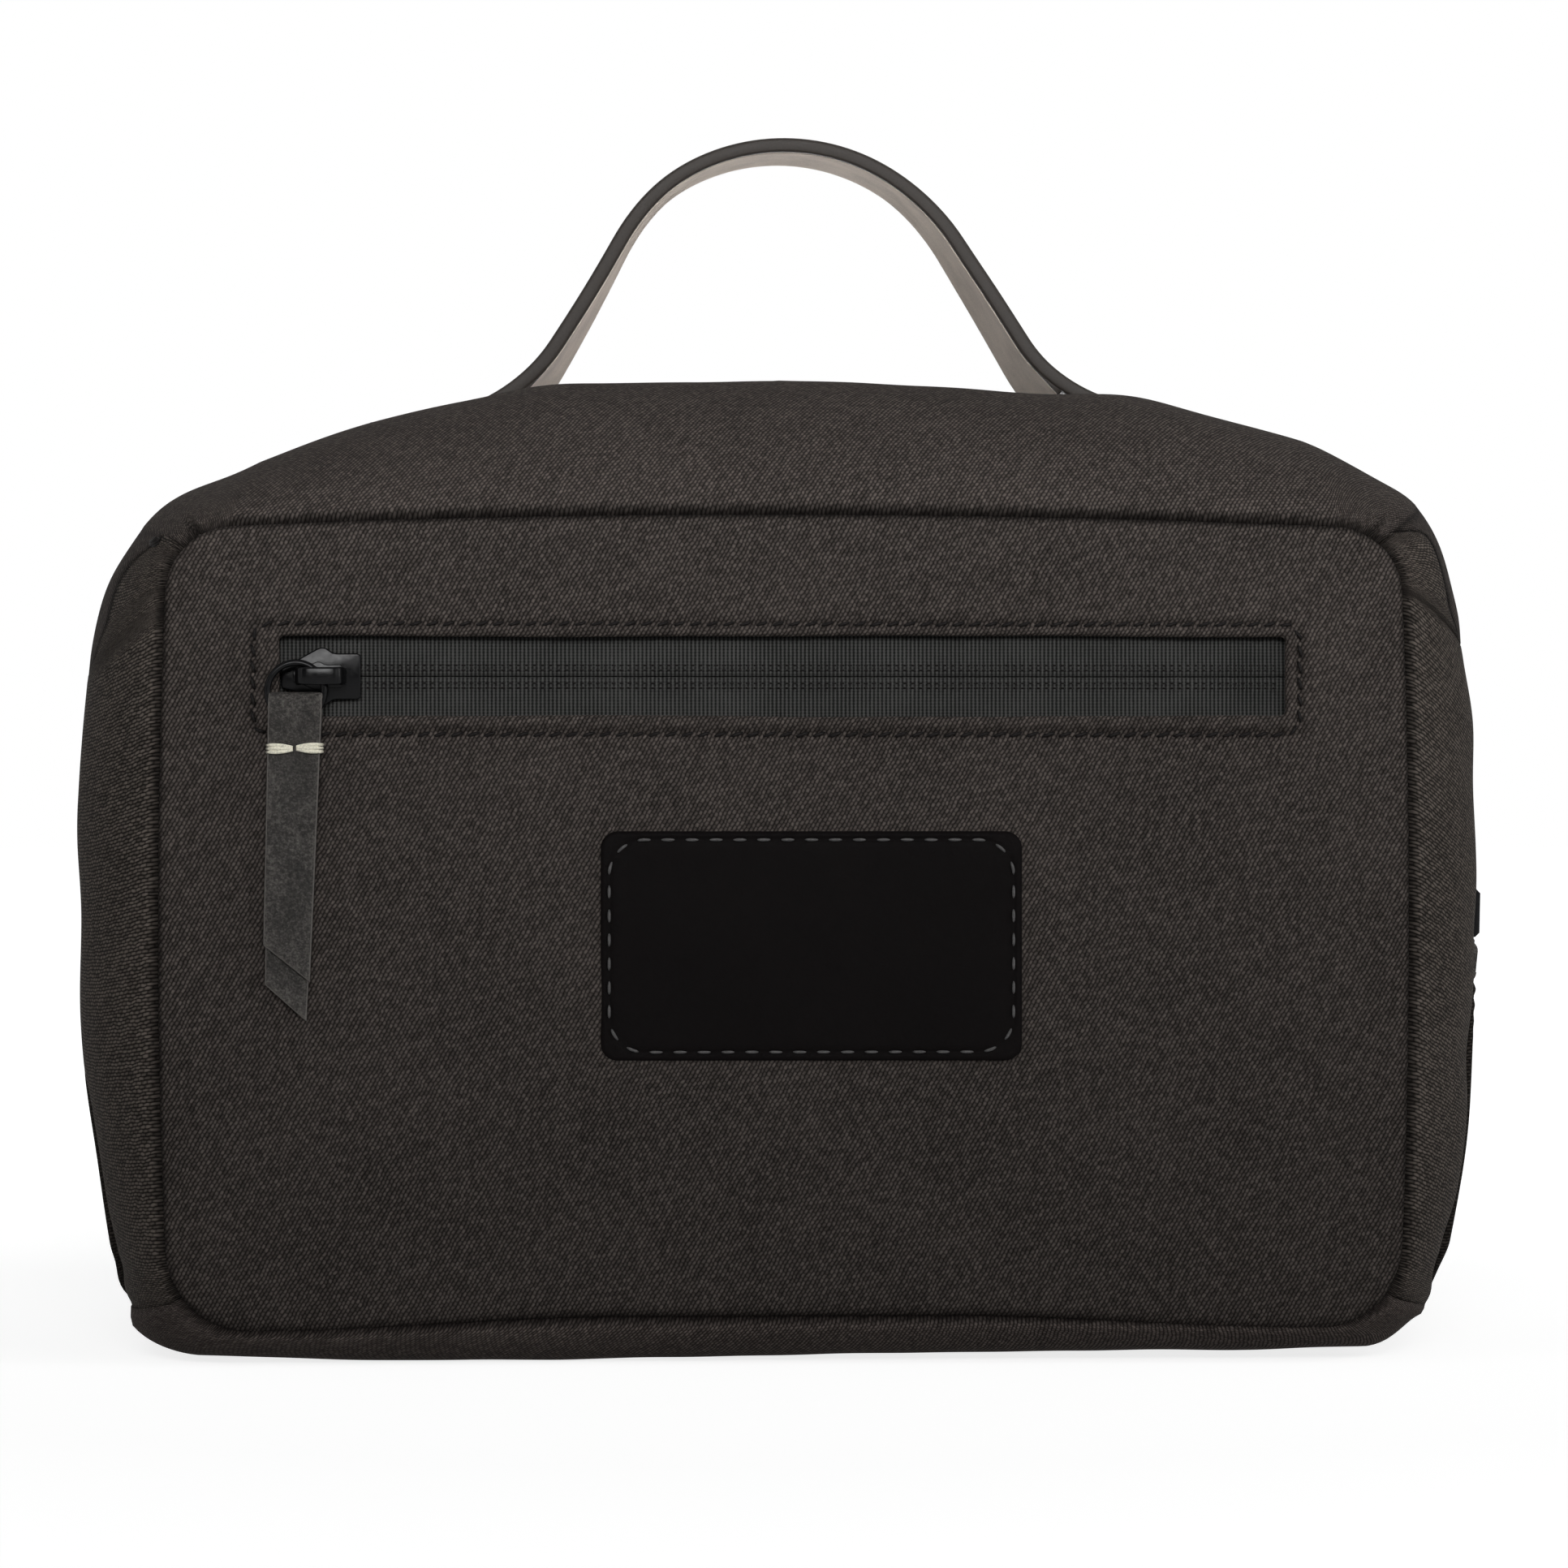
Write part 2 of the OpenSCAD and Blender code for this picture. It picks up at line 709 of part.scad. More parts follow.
module back_panel() {
    color(CANVAS)
        along_y(half_d, panel_back)
            panel_shape();
}

module rear_gusset_top() {
    color(CANVAS)
        gusset(REAR, -gusset_seam_share + seam_open_share, gusset_seam_share - seam_open_share);
}

module rear_gusset_left() {
    color(CANVAS)
        gusset(REAR, -zip_s + seam_open_share, -gusset_seam_share - seam_open_share);
}

module rear_gusset_right() {
    color(CANVAS)
        gusset(REAR, gusset_seam_share + seam_open_share, zip_s - seam_open_share);
}

module base_panel() {
    color(CANVAS)
        base_cloth();
}

// The board covers the flat of the base and stops short of where the cloth turns up
board_low = cloth_t + seam_gap;
board_room = 2;
board_half_w = lower_centre(ridge_outline)[0] - board_room;
board_half_d = half_d - base_run - board_room;
board_r = 8;
cover_run = 2;

module base_board() {
    color("burlywood")
        translate([0, 0, board_low])
            linear_extrude(board_t)
                polygon(round_rect(2 * board_half_w, 2 * board_half_d, board_r));
}

module base_lining() {
    color(LINING)
        translate([0, 0, board_low + board_t + seam_gap / 2])
            linear_extrude(lining_t)
                polygon(round_rect(
                    2 * (board_half_w + cover_run), 2 * (board_half_d + cover_run), board_r
                ));
}

module rear_lining() {
    color(LINING)
        lining_tray(REAR, rear_sheet - seam_gap);
}

module main_tape(side) {
    along_y(side * (coil_reach + seam_gap / 2), side * (edge_y + hem_w - seam_gap))
        outline_strip(-zip_s, zip_s, tape_inset, tape_t);
}

module main_coil(side) {
    along_y(side * coil_slit / 2, side * coil_reach)
        outline_strip(-zip_s, zip_s, tape_inset, tape_t + coil_t);
}

module rear_zip_tape() {
    color(TAPE)
        main_tape(REAR);
}

module rear_zip_coil() {
    color(COIL)
        main_coil(REAR);
}

stop_span_share = 0.12;

module zip_end_stops() {
    color(BLACK_METAL)
        for (left = [false, true])
            mirror([left ? 1 : 0, 0, 0])
                along_y(-coil_reach, coil_reach)
                    outline_strip(
                        zip_s + 2 * seam_open_share, zip_s + stop_span_share,
                        cloth_t + seam_gap, coil_t + tape_t + seam_gap
                    );
}

module handle_strap() {
    color(LEATHER)
        strap_layer(0, strap_t);
}

module handle_lining() {
    color(SUEDE)
        strap_layer(strap_t + seam_gap / 2, strap_lining_t);
}

// ------------------------------------------------------------- front shell

module front_panel() {
    color(CANVAS)
        along_y(-half_d, -panel_back)
            difference() {
                panel_shape();
                translate([window_mid, pocket_zip_z])
                    polygon(round_rect(window_w, window_h, window_r));
            }
}

module front_gusset_top() {
    color(CANVAS)
        gusset(FRONT, -gusset_seam_share + seam_open_share, gusset_seam_share - seam_open_share);
}

module front_gusset_left() {
    color(CANVAS)
        gusset(FRONT, -zip_s + seam_open_share, -gusset_seam_share - seam_open_share);
}

module front_gusset_right() {
    color(CANVAS)
        gusset(FRONT, gusset_seam_share + seam_open_share, zip_s - seam_open_share);
}

module front_lining() {
    color(LINING)
        lining_tray(FRONT, front_sheet);
}

module front_zip_tape() {
    color(TAPE)
        main_tape(FRONT);
}

module front_zip_coil() {
    color(COIL)
        main_coil(FRONT);
}

module pocket_tape_upper() {
    color(TAPE)
        pocket_tape();
}

module pocket_tape_lower() {
    color(TAPE)
        below_zip()
            pocket_tape();
}

module pocket_coil_upper() {
    color(COIL)
        pocket_coil();
}

module pocket_coil_lower() {
    color(COIL)
        below_zip()
            pocket_coil();
}

module pocket_zip_stops() {
    color(BLACK_METAL)
        along_y(-pocket_coil_y, -pocket_coil_y + coil_t) {
            for (up = [-1, 1])
                translate([chain_left - stop_l / 2 - stop_room, pocket_zip_z + up * coil_reach / 2])
                    square([stop_l, coil_reach - coil_slit], center = true);
            translate([chain_right + stop_l / 2 + stop_room, pocket_zip_z])
                square([stop_l, 2 * coil_reach], center = true);
        }
}

pouch_side = 6.5;
pouch_top = 2;
pouch_r = 5;

// Flat pouch behind the pocket's window, open towards the zip
module pocket_bag() {
    top_z = pocket_zip_z + coil_slit / 2 + pocket_tape_w + pouch_top;
    mouth_w = window_w + 2 * (tape_run + seam_gap);
    mouth_h = 2 * (coil_slit / 2 + pocket_tape_w + seam_gap);
    w = window_w + 2 * pouch_side;
    h = top_z - pocket_low_z;
    mid_z = (top_z + pocket_low_z) / 2;
    color(LINING)
        difference() {
            along_y(-lip_face + seam_gap, -pocket_bag_y + pocket_wall)
                translate([window_mid, mid_z])
                    polygon(round_rect(w, h, pouch_r));
            along_y(-lip_face + seam_gap + pocket_wall, -pocket_bag_y)
                translate([window_mid, mid_z])
                    polygon(round_rect(
                        w - 2 * pocket_wall, h - 2 * pocket_wall, pouch_r - pocket_wall
                    ));
            along_y(-half_d, -pocket_coil_y + pocket_wall)
                translate([window_mid, pocket_zip_z])
                    square([mouth_w, mouth_h], center = true);
        }
}

module leather_patch() {
    color([0.06, 0.05, 0.05])
        along_y(-half_d, -half_d - patch_t)
            translate([patch_x, patch_z])
                polygon(round_rect(patch_w, patch_h, patch_r));
}

// ---------------------------------------------------------- sliders and pulls

module pocket_slider() {
    color(BLACK_METAL)
        translate([pocket_slider_x, -pocket_tape_y, pocket_zip_z])
            slider(pocket_ring_out, true);
}

module pocket_pull_ring() {
    color(BLACK_METAL)
        translate(pocket_ring_at)
            wire_ring(wire_d);
}

module pocket_pull() {
    color(LEATHER)
        translate(pocket_ring_at)
            leather_pull();
}

module main_slider() {
    color(BLACK_METAL)
        on_side()
            outwards()
                slider(main_ring_out, false);
}

module main_pull_ring() {
    color(BLACK_METAL)
        below_bail()
            wire_ring(wire_d);
}

module main_pull() {
    color(LEATHER)
        below_bail()
            leather_pull();
}

back_panel();
rear_gusset_top();
rear_gusset_left();
rear_gusset_right();
base_panel();
base_board();
base_lining();
rear_lining();
rear_zip_tape();
rear_zip_coil();
zip_end_stops();
handle_strap();
handle_lining();
front_panel();
front_gusset_top();
front_gusset_left();
front_gusset_right();
front_lining();
front_zip_tape();
front_zip_coil();
pocket_tape_upper();
pocket_tape_lower();
pocket_coil_upper();
pocket_coil_lower();
pocket_zip_stops();
pocket_bag();
leather_patch();
pocket_slider();
pocket_pull_ring();
pocket_pull();
main_slider();
main_pull_ring();
main_pull();
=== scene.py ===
import math

import bmesh
import bpy
import numpy as np
from mathutils import Matrix, Vector, noise


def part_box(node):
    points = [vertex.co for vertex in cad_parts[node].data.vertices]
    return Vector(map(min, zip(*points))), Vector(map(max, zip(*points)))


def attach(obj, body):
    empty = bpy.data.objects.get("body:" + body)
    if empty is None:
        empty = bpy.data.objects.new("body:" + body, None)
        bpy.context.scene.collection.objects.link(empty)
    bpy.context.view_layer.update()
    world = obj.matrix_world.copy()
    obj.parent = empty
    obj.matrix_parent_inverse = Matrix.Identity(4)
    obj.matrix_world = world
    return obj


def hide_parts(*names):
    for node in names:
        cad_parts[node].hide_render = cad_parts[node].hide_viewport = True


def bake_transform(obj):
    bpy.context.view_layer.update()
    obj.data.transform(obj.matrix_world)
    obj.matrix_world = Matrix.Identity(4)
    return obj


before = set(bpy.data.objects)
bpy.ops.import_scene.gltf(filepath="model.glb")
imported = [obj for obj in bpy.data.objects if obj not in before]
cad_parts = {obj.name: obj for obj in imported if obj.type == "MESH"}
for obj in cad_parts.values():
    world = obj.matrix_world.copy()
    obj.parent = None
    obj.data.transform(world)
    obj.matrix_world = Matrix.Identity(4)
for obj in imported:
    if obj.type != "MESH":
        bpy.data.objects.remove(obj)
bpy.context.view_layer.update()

MM = 0.001
FRONT, REAR = -1, 1


# ------------------------------------------------------------------ sizes from the frame

def box_mm(node):
    low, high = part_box(node)
    return np.array(low) / MM, np.array(high) / MM


PANEL_LOW, PANEL_HIGH = box_mm("back_panel")
HALF_D = PANEL_HIGH[1]
SEAM_GAP = 0.3
PANEL_HALF_W = PANEL_HIGH[0] + SEAM_GAP
PANEL_TOP, PANEL_BASE = PANEL_HIGH[2] + SEAM_GAP, PANEL_LOW[2] - SEAM_GAP
GUSSET_LOW, GUSSET_HIGH = box_mm("rear_gusset_top")
HALF_W, BAG_H = -box_mm("rear_gusset_left")[0][0], GUSSET_HIGH[2]
EDGE_Y = GUSSET_LOW[1]
CLOTH_T, HEM_T, HEM_W, SEAM_TURN, BASE_RUN = 2.0, 3.6, 3.0, 25.0, 13.0
SIDE_RUN = HALF_D - EDGE_Y - HEM_W
TAPE_INSET = HEM_T + SEAM_GAP
ZIP_END_Z = 7.0
CROWN_R, LOWER_R = 370.0, 20.0
TAPE_LOW, TAPE_HIGH = box_mm("pocket_tape_upper")
TAPE_RUN = 4.0
WINDOW_LEFT, WINDOW_RIGHT = TAPE_LOW[0] + TAPE_RUN, TAPE_HIGH[0] - TAPE_RUN
POCKET_Z = (TAPE_LOW[2] + box_mm("pocket_tape_lower")[1][2]) / 2
WINDOW_LOW, WINDOW_TOP = POCKET_Z - 7.0, POCKET_Z + 7.0
TAPE_Y = -TAPE_LOW[1]
PATCH_LOW, PATCH_HIGH = box_mm("leather_patch")
RING_R, WIRE_D = 5.0, 1.2
BAG_MIDDLE = np.array([0.0, 0.0, 90.0])
FLOOR_GAP = 0.15


# ------------------------------------------------------------------ outlines of the halves

def smooth(x, a, b):
    f = np.clip((np.asarray(x, float) - a) / (b - a), 0, 1)
    return f * f * (3 - 2 * f)


def bump(x, mid, width):
    return np.exp(-((np.asarray(x, float) - mid) / width) ** 2)


def unit(v):
    return v / np.maximum(np.linalg.norm(v, axis=-1, keepdims=True), 1e-9)


def at_y(xz, y):
    """Points that have their X and Z from an outline and lie at the depth y"""
    return np.stack([xz[..., 0], np.broadcast_to(y, xz.shape[:-1]), xz[..., 1]], -1)


def between(inner, outer, f):
    """Rows of points that go over from one outline to another, at the shares f"""
    f = f[None, :, None]
    return inner[:, None] * (1 - f) + outer[:, None] * f


class Outline:
    """Rounded outline in X and Z. s is 0 at the top's middle, 1 to 2 round the upper
    corner, 2 to 3 down the side, 3 to 4 round the lower corner and 5 at the base's
    middle; negative values mirror it to the left."""

    def __init__(self, half_w, top, low, crown_r, upper_r, side_r, widest, lower_r, sag=0.0):
        self.radii = [crown_r, upper_r, side_r, lower_r]
        self.low, self.sag = low, sag
        crown = np.array([0.0, top - crown_r])
        side = np.array([half_w - side_r, widest])
        rc, rs = crown_r - upper_r, side_r - upper_r
        d = np.linalg.norm(side - crown)
        along = (rc * rc - rs * rs + d * d) / (2 * d)
        u = (side - crown) / d
        upper = crown + u * along + math.sqrt(rc * rc - along * along) * np.array([u[1], -u[0]])
        z, reach_in = low + lower_r, side_r - lower_r
        lower = np.array([side[0] + math.sqrt(reach_in ** 2 - (z - widest) ** 2), z])
        self.centres = [crown, upper, side, lower]
        turns = [math.atan2(*v[::-1]) for v in (upper - crown, upper - side, lower - side)]
        self.angles = [math.pi / 2, *turns, -math.pi / 2]

    def point(self, s, inset=0.0):
        s = np.asarray(s, float)
        inset = np.broadcast_to(inset, s.shape)
        a = np.abs(s)
        out = np.empty(s.shape + (2,))
        for k in range(4):
            here = (a >= k) & (a < k + 1)
            turn = self.angles[k] + (self.angles[k + 1] - self.angles[k]) * (a[here] - k)
            spoke = np.stack([np.cos(turn), np.sin(turn)], -1)
            out[here] = self.centres[k] + (self.radii[k] - inset[here])[:, None] * spoke
        flat = a >= 4
        lift = self.sag * smooth(a[flat], 4.0, 4.7)
        across = self.centres[3][0] * (5 - a[flat])
        out[flat] = np.stack([across, self.low + inset[flat] + lift], -1)
        out[..., 0] *= np.where(s < 0, -1.0, 1.0)
        return out


SEAM_ROLL = 0.9
RIDGE = Outline(HALF_W, BAG_H, 0.0, CROWN_R, 44.0, 500.0, 90.0, LOWER_R)
PANEL = Outline(PANEL_HALF_W + SEAM_ROLL, PANEL_TOP + SEAM_ROLL, PANEL_BASE - SEAM_ROLL, 2500.0,
                13.0, 1500.0, (PANEL_TOP + PANEL_BASE) / 2, 16.0, sag=2.6)
LOW_ANGLE = math.asin((ZIP_END_Z - LOWER_R) / LOWER_R)
ZIP_S = 3 + (LOW_ANGLE - RIDGE.angles[3]) / (RIDGE.angles[4] - RIDGE.angles[3])

# (place along the outline, half width of the sag, its depth in millimetres)
SAGS_LEFT = ((0.09, 0.17, 0.37), (1.10, 0.26, 3.99), (0.46, 0.10, -0.76), (1.60, 0.23, 1.74),
             (1.96, 0.27, 1.93), (2.43, 0.13, 1.07), (2.93, 0.20, 1.46), (3.13, 0.13, 1.40),
             (3.90, 0.33, 1.29))
SAGS_RIGHT = ((0.16, 0.20, 0.41), (0.66, 0.12, -1.50), (0.84, 0.26, -1.57), (1.49, 0.22, -1.64),
              (1.99, 0.40, 2.41), (2.11, 0.09, -1.33), (2.46, 0.06, 0.54), (2.83, 0.14, -0.85),
              (3.35, 0.15, -2.19), (3.45, 0.46, 2.61))


def by_side(s, left, right):
    return np.where(np.asarray(s) < 0, left, right)


def slump(s):
    """How far the bag's ridge hangs inside its even outline: the left shoulder sags, the
    right one stands up, and the sides and lower corners wander by a millimetre"""
    a = np.abs(s)
    left, right = (sum(depth * bump(a, place, width) for place, width, depth in sags)
                   for sags in (SAGS_LEFT, SAGS_RIGHT))
    return by_side(s, left, right) * (1 - smooth(a, 4.0, 4.6))


def ridge_point(s, inset=0.0):
    return RIDGE.point(s, inset + slump(s))


def rise(t):
    low = math.sin(math.radians(SEAM_TURN))
    return (np.sin(t) - low) / (1 - low)


def reach(t):
    return 1 - np.cos(t) / math.cos(math.radians(SEAM_TURN))


def run_depth(s):
    return SIDE_RUN + (BASE_RUN - SIDE_RUN) * smooth(np.abs(s), 3, 4)


def even_steps(a, b, step):
    """Values of s from a to b, at an even spacing in millimetres along the ridge"""
    fine = np.linspace(a, b, 4001)
    length = path_length(RIDGE.point(fine))
    count = max(2, int(length[-1] / step))
    return np.interp(np.linspace(0, length[-1], count + 1), length, fine)


def path_length(points):
    return np.concatenate([[0], np.cumsum(np.linalg.norm(np.diff(points, axis=0), axis=1))])


def ripple(points, scale, seed):
    """Smooth noise from -1 to 1 at each point, with features about scale millimetres wide"""
    flat = points.reshape(-1, 3) / scale + seed * 17.3
    return np.array([noise.noise(Vector(p)) for p in flat]).reshape(points.shape[:-1])


# ------------------------------------------------------------------ meshes

def add_object(name, data):
    obj = bpy.data.objects.new(name, data)
    bpy.context.scene.collection.objects.link(obj)
    return obj


def new_object(name, verts, faces, uvs=None, clear=None):
    mesh = bpy.data.meshes.new(name)
    mesh.from_pydata((np.asarray(verts) * MM).tolist(), [], faces)
    # clear holds painted shade: the share of light left in seams, creases and hems, 1 where there
    # is none; the twill darkens its colour by it
    values = np.ones(len(mesh.vertices)) if clear is None else clear.ravel()
    layer = mesh.attributes.new("painted_light_share", "FLOAT", "POINT")
    layer.data.foreach_set("value", values.astype(np.float32))
    if uvs is not None:
        layer = mesh.uv_layers.new(name="cloth")
        corner = np.empty(len(mesh.loops), int)
        mesh.loops.foreach_get("vertex_index", corner)
        layer.data.foreach_set("uv", np.asarray(uvs, np.float32)[corner].ravel())
    mesh.validate()
    mesh.shade_smooth()
    return add_object(name, mesh)


def grid_faces(n, m, wrap=False, tube=False, flip=False):
    """Faces between n rows of m points. The rows close on the first one if wrap is set; in
    a tube each row is a ring, and the ends are capped."""
    faces = [(i * m + j, i * m + (j + 1) % m, (i + 1) % n * m + (j + 1) % m, (i + 1) % n * m + j)
             for i in range(n if wrap else n - 1) for j in range(m if tube else m - 1)]
    if tube and not wrap:
        faces += [tuple(reversed(range(m))), tuple(range((n - 1) * m, n * m))]
    return [face[::-1] for face in faces] if flip else faces


def grid_object(name, points, uv=None, clear=None, wrap=False, flip=False):
    """Sheet through a grid of points; its cloth is laid on flat in X and Z without a uv"""
    uv = points[..., [0, 2]] if uv is None else uv
    faces = grid_faces(*points.shape[:2], wrap, flip=flip)
    return new_object(name, points.reshape(-1, 3), faces, uv.reshape(-1, 2), clear)


def face_outwards(obj):
    """Turns a sheet's faces so that most of them look away from the middle of the bag"""
    mesh = obj.data
    count = len(mesh.polygons)
    normals, centres, areas = np.empty(count * 3), np.empty(count * 3), np.empty(count)
    for key, values in (("normal", normals), ("center", centres), ("area", areas)):
        mesh.polygons.foreach_get(key, values)
    away = centres.reshape(-1, 3) / MM - BAG_MIDDLE
    if ((normals.reshape(-1, 3) * away).sum(1) * areas).sum() < 0:
        mesh.flip_normals()
    return obj


def grid_uv(points):
    """Distances along and across a grid, in millimetres"""
    along = np.linalg.norm(np.diff(points, axis=0), axis=2).max(axis=1)
    across = np.linalg.norm(np.diff(points, axis=1), axis=2)
    u = np.concatenate([[0], np.cumsum(along)])[:, None] + np.zeros(points.shape[1])
    v = np.concatenate([np.zeros((len(points), 1)), np.cumsum(across, axis=1)], axis=1)
    return np.stack([u - u.mean(), v], -1)


def outward_normals(points):
    n = unit(np.cross(np.gradient(points, axis=0), np.gradient(points, axis=1)))
    return n * np.sign((n * (points - BAG_MIDDLE)).sum(-1).mean())


def edit_mesh(obj, action):
    work = bmesh.new()
    work.from_mesh(obj.data)
    action(work)
    work.to_mesh(obj.data)
    work.free()
    return obj


def weld(obj, distance, close_all=False):
    """Merges near points, and closes the tiny holes that this leaves or else every hole"""
    def action(work):
        bmesh.ops.remove_doubles(work, verts=work.verts, dist=distance * MM)
        rim = [e for e in work.edges
               if close_all or e.is_boundary and e.calc_length() < 2 * distance * MM]
        bmesh.ops.holes_fill(work, edges=rim)
    return edit_mesh(obj, action)


def recalculate(obj):
    return edit_mesh(obj, lambda work: bmesh.ops.recalc_face_normals(work, faces=work.faces))


def bake(obj):
    shown = bpy.context.evaluated_depsgraph_get()
    mesh = bpy.data.meshes.new_from_object(obj.evaluated_get(shown))
    obj.modifiers.clear()
    obj.data = mesh
    return obj


def thicken(obj, thickness):
    """Gives a single sheet its thickness, on the side away from its normals"""
    mod = obj.modifiers.new("thickness", "SOLIDIFY")
    mod.thickness, mod.offset = thickness * MM, -1
    return bake(obj)


def bevel(obj, width, segments, least_turn, material=-1):
    mod = obj.modifiers.new("bevel", "BEVEL")
    mod.width, mod.segments, mod.material = width * MM, segments, material
    mod.limit_method, mod.angle_limit = "ANGLE", math.radians(least_turn)
    bake(obj).data.shade_smooth()
    return obj


def finish_piece(obj, material, body, slot, *nodes):
    if len(obj.data.materials) < 2:
        obj.data.materials.clear()
        obj.data.materials.append(material)
    if nodes:
        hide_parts(*nodes)
    if body:
        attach(obj, body)
    return obj


def join(name, objects):
    first = objects[0]
    with bpy.context.temp_override(active_object=first, object=first, selected_objects=objects,
                                   selected_editable_objects=objects):
        bpy.ops.object.join()
    first.name = name
    return first


def tube(path, radius, sides=8, closed=False):
    """Vertices and faces of a round tube along a path; radius may vary along it"""
    path = np.asarray(path, float)
    ahead, behind = np.roll(path, -1, axis=0), np.roll(path, 1, axis=0)
    tangent = unit(ahead - behind if closed else np.gradient(path, axis=0))
    guide = np.eye(3)[np.argmin(np.abs(tangent).max(axis=0))]
    side = unit(np.cross(tangent, guide))
    up = np.cross(side, tangent)
    angle = np.linspace(0, 2 * math.pi, sides, endpoint=False)[None, :, None]
    ring = side[:, None] * np.cos(angle) + up[:, None] * np.sin(angle)
    verts = path[:, None] + ring * np.broadcast_to(radius, len(path))[:, None, None]
    return verts.reshape(-1, 3), grid_faces(len(path), sides, closed, tube=True)


def tubes_object(name, paths, radius, sides=8):
    """One mesh of many tubes; radius is a length, or a function of a path's point count"""
    verts, faces, start = [], [], 0
    for path in paths:
        v, f = tube(path, radius(len(path)) if callable(radius) else radius, sides)
        verts.append(v)
        faces += [tuple(start + i for i in face) for face in f]
        start += len(v)
    return new_object(name, np.concatenate(verts), faces)


def rounded_section(half_a, half_b, r, first):
    """Corner points of a rounded rectangle, anticlockwise from the turn first, in degrees"""
    section = []
    for start in range(first, first + 360, 90):
        mid = math.radians(start + 45)
        for a in np.radians([start, start + 30, start + 60, start + 90]):
            section.append((math.copysign(half_a - r, math.cos(mid)) + r * math.cos(a),
                            math.copysign(half_b - r, math.sin(mid)) + r * math.sin(a)))
    return section


STITCH_POINTS = 7


def stitches(name, line, normal, pitch, length, sink, lift, r, sides, lean=0.0):
    """Short arched threads along a line: each dips under the surface at its two holes, where
    it is also drawn in"""
    line = np.asarray(line, float)
    normal = np.broadcast_to(np.asarray(normal, float), line.shape)
    d = path_length(line)
    count = int(round(d[-1] / pitch))
    f = np.linspace(-1, 1, STITCH_POINTS)
    paths = []
    for k in range(count):
        at = (k + 0.5) * d[-1] / count + 0.5 * f * length
        p, n = (np.stack([np.interp(at, d, v[:, c]) for c in range(3)], -1) for v in (line, normal))
        side = unit(np.cross(n[STITCH_POINTS // 2], p[-1] - p[0]))
        height = lift - (lift + sink) * f ** 4
        paths.append(p + n * height[:, None] + side * (lean * f)[:, None])
    taper = 0.45 + 0.55 * np.sin(math.pi * np.linspace(0, 1, STITCH_POINTS)) ** 0.5
    return tubes_object(name, paths, lambda n: r * taper, sides)


# ------------------------------------------------------------------ materials

class Shader:
    """Small helper that builds the nodes of one material or world"""

    def __init__(self, owner):
        self.owner = owner
        owner.use_nodes = True
        self.tree = owner.node_tree
        self.bsdf = self.tree.nodes.get("Principled BSDF")

    def feed(self, socket, value):
        if isinstance(value, bpy.types.NodeSocket):
            self.tree.links.new(value, socket)
        else:
            socket.default_value = value

    def node(self, kind, inputs=(), **settings):
        """Adds a node. Its inputs are given in order, or by name in a dict."""
        n = self.tree.nodes.new("ShaderNode" + kind)
        for key, value in settings.items():
            setattr(n, key, value)
        for key, value in inputs.items() if isinstance(inputs, dict) else enumerate(inputs):
            self.feed(n.inputs[key], value)
        return n

    def math(self, operation, *values):
        return self.node("Math", values, operation=operation).outputs[0]

    def times(self, a, b, plus=None):
        if plus is None:
            return self.math("MULTIPLY", a, b)
        return self.math("MULTIPLY_ADD", a, b, plus)

    def plus(self, a, b):
        return self.math("ADD", a, b)

    def around(self, value, spread):
        """A value from 0 to 1 turned into a change of tone, even about nought"""
        return self.times(value, spread, -spread / 2)

    def half_wave(self, value):
        return self.math("SINE", self.times(self.math("FRACT", value), math.pi))

    def wave(self, value, pitch):
        """Sine from 0 to 1 over a coordinate in millimetres"""
        return self.times(self.math("SINE", self.times(value, 2 * math.pi / pitch, 0.0)), 0.5, 0.5)

    def uv(self):
        uv = self.node("UVMap", uv_map="cloth").outputs[0]
        split = self.node("SeparateXYZ", [uv])
        return uv, split.outputs[0], split.outputs[1]

    def place(self):
        return self.node("TexCoord").outputs["Object"]

    def noise(self, vector, scale, detail=3.0, rough=0.55):
        return self.node("TexNoise", {"Vector": vector, "Scale": scale, "Detail": detail,
                                      "Roughness": rough}).outputs[0]

    def ramp(self, value, low, high, a, b, **settings):
        return self.node("MapRange", {"Value": value, "From Min": low, "From Max": high,
                                      "To Min": a, "To Max": b}, **settings).outputs[0]

    def paler_edges(self, low, high, most):
        """Raised edges made paler: wear, and on the leather partly a painted highlight"""
        return self.ramp(self.node("NewGeometry").outputs["Pointiness"], low, high, 0.0, most)

    def tints(self, factor, rgb, *stops):
        """Colour ramp of one linear colour; stops are (position, brightness)"""
        n = self.node("ValToRGB", [factor])
        elements = n.color_ramp.elements
        while len(elements) < len(stops):
            elements.new(0.5)
        for item, (at, k) in zip(elements, stops):
            item.position = at
            item.color = (*(c * k for c in rgb), 1)
        return n.outputs[0]

    def bump(self, height, distance, strength=1.0, **under):
        inputs = {"Strength": strength, "Distance": distance * MM, "Height": height, **under}
        return self.node("Bump", inputs).outputs[0]

    def finish(self, colour, rough, specular, normal=None):
        inputs = {"Base Color": colour, "Roughness": rough, "Specular IOR Level": specular,
                  "Normal": normal}
        for key, value in inputs.items():
            if value is not None:
                self.feed(self.bsdf.inputs[key], value)
        return self.owner


def new_shader(name):
    return Shader(bpy.data.materials.new(name))


def srgb(*rgb):
    """Linear colour of an sRGB one given from 0 to 255"""
    return tuple(((c / 255 + 0.055) / 1.055) ** 2.4 if c > 10.3 else c / 255 / 12.92 for c in rgb)


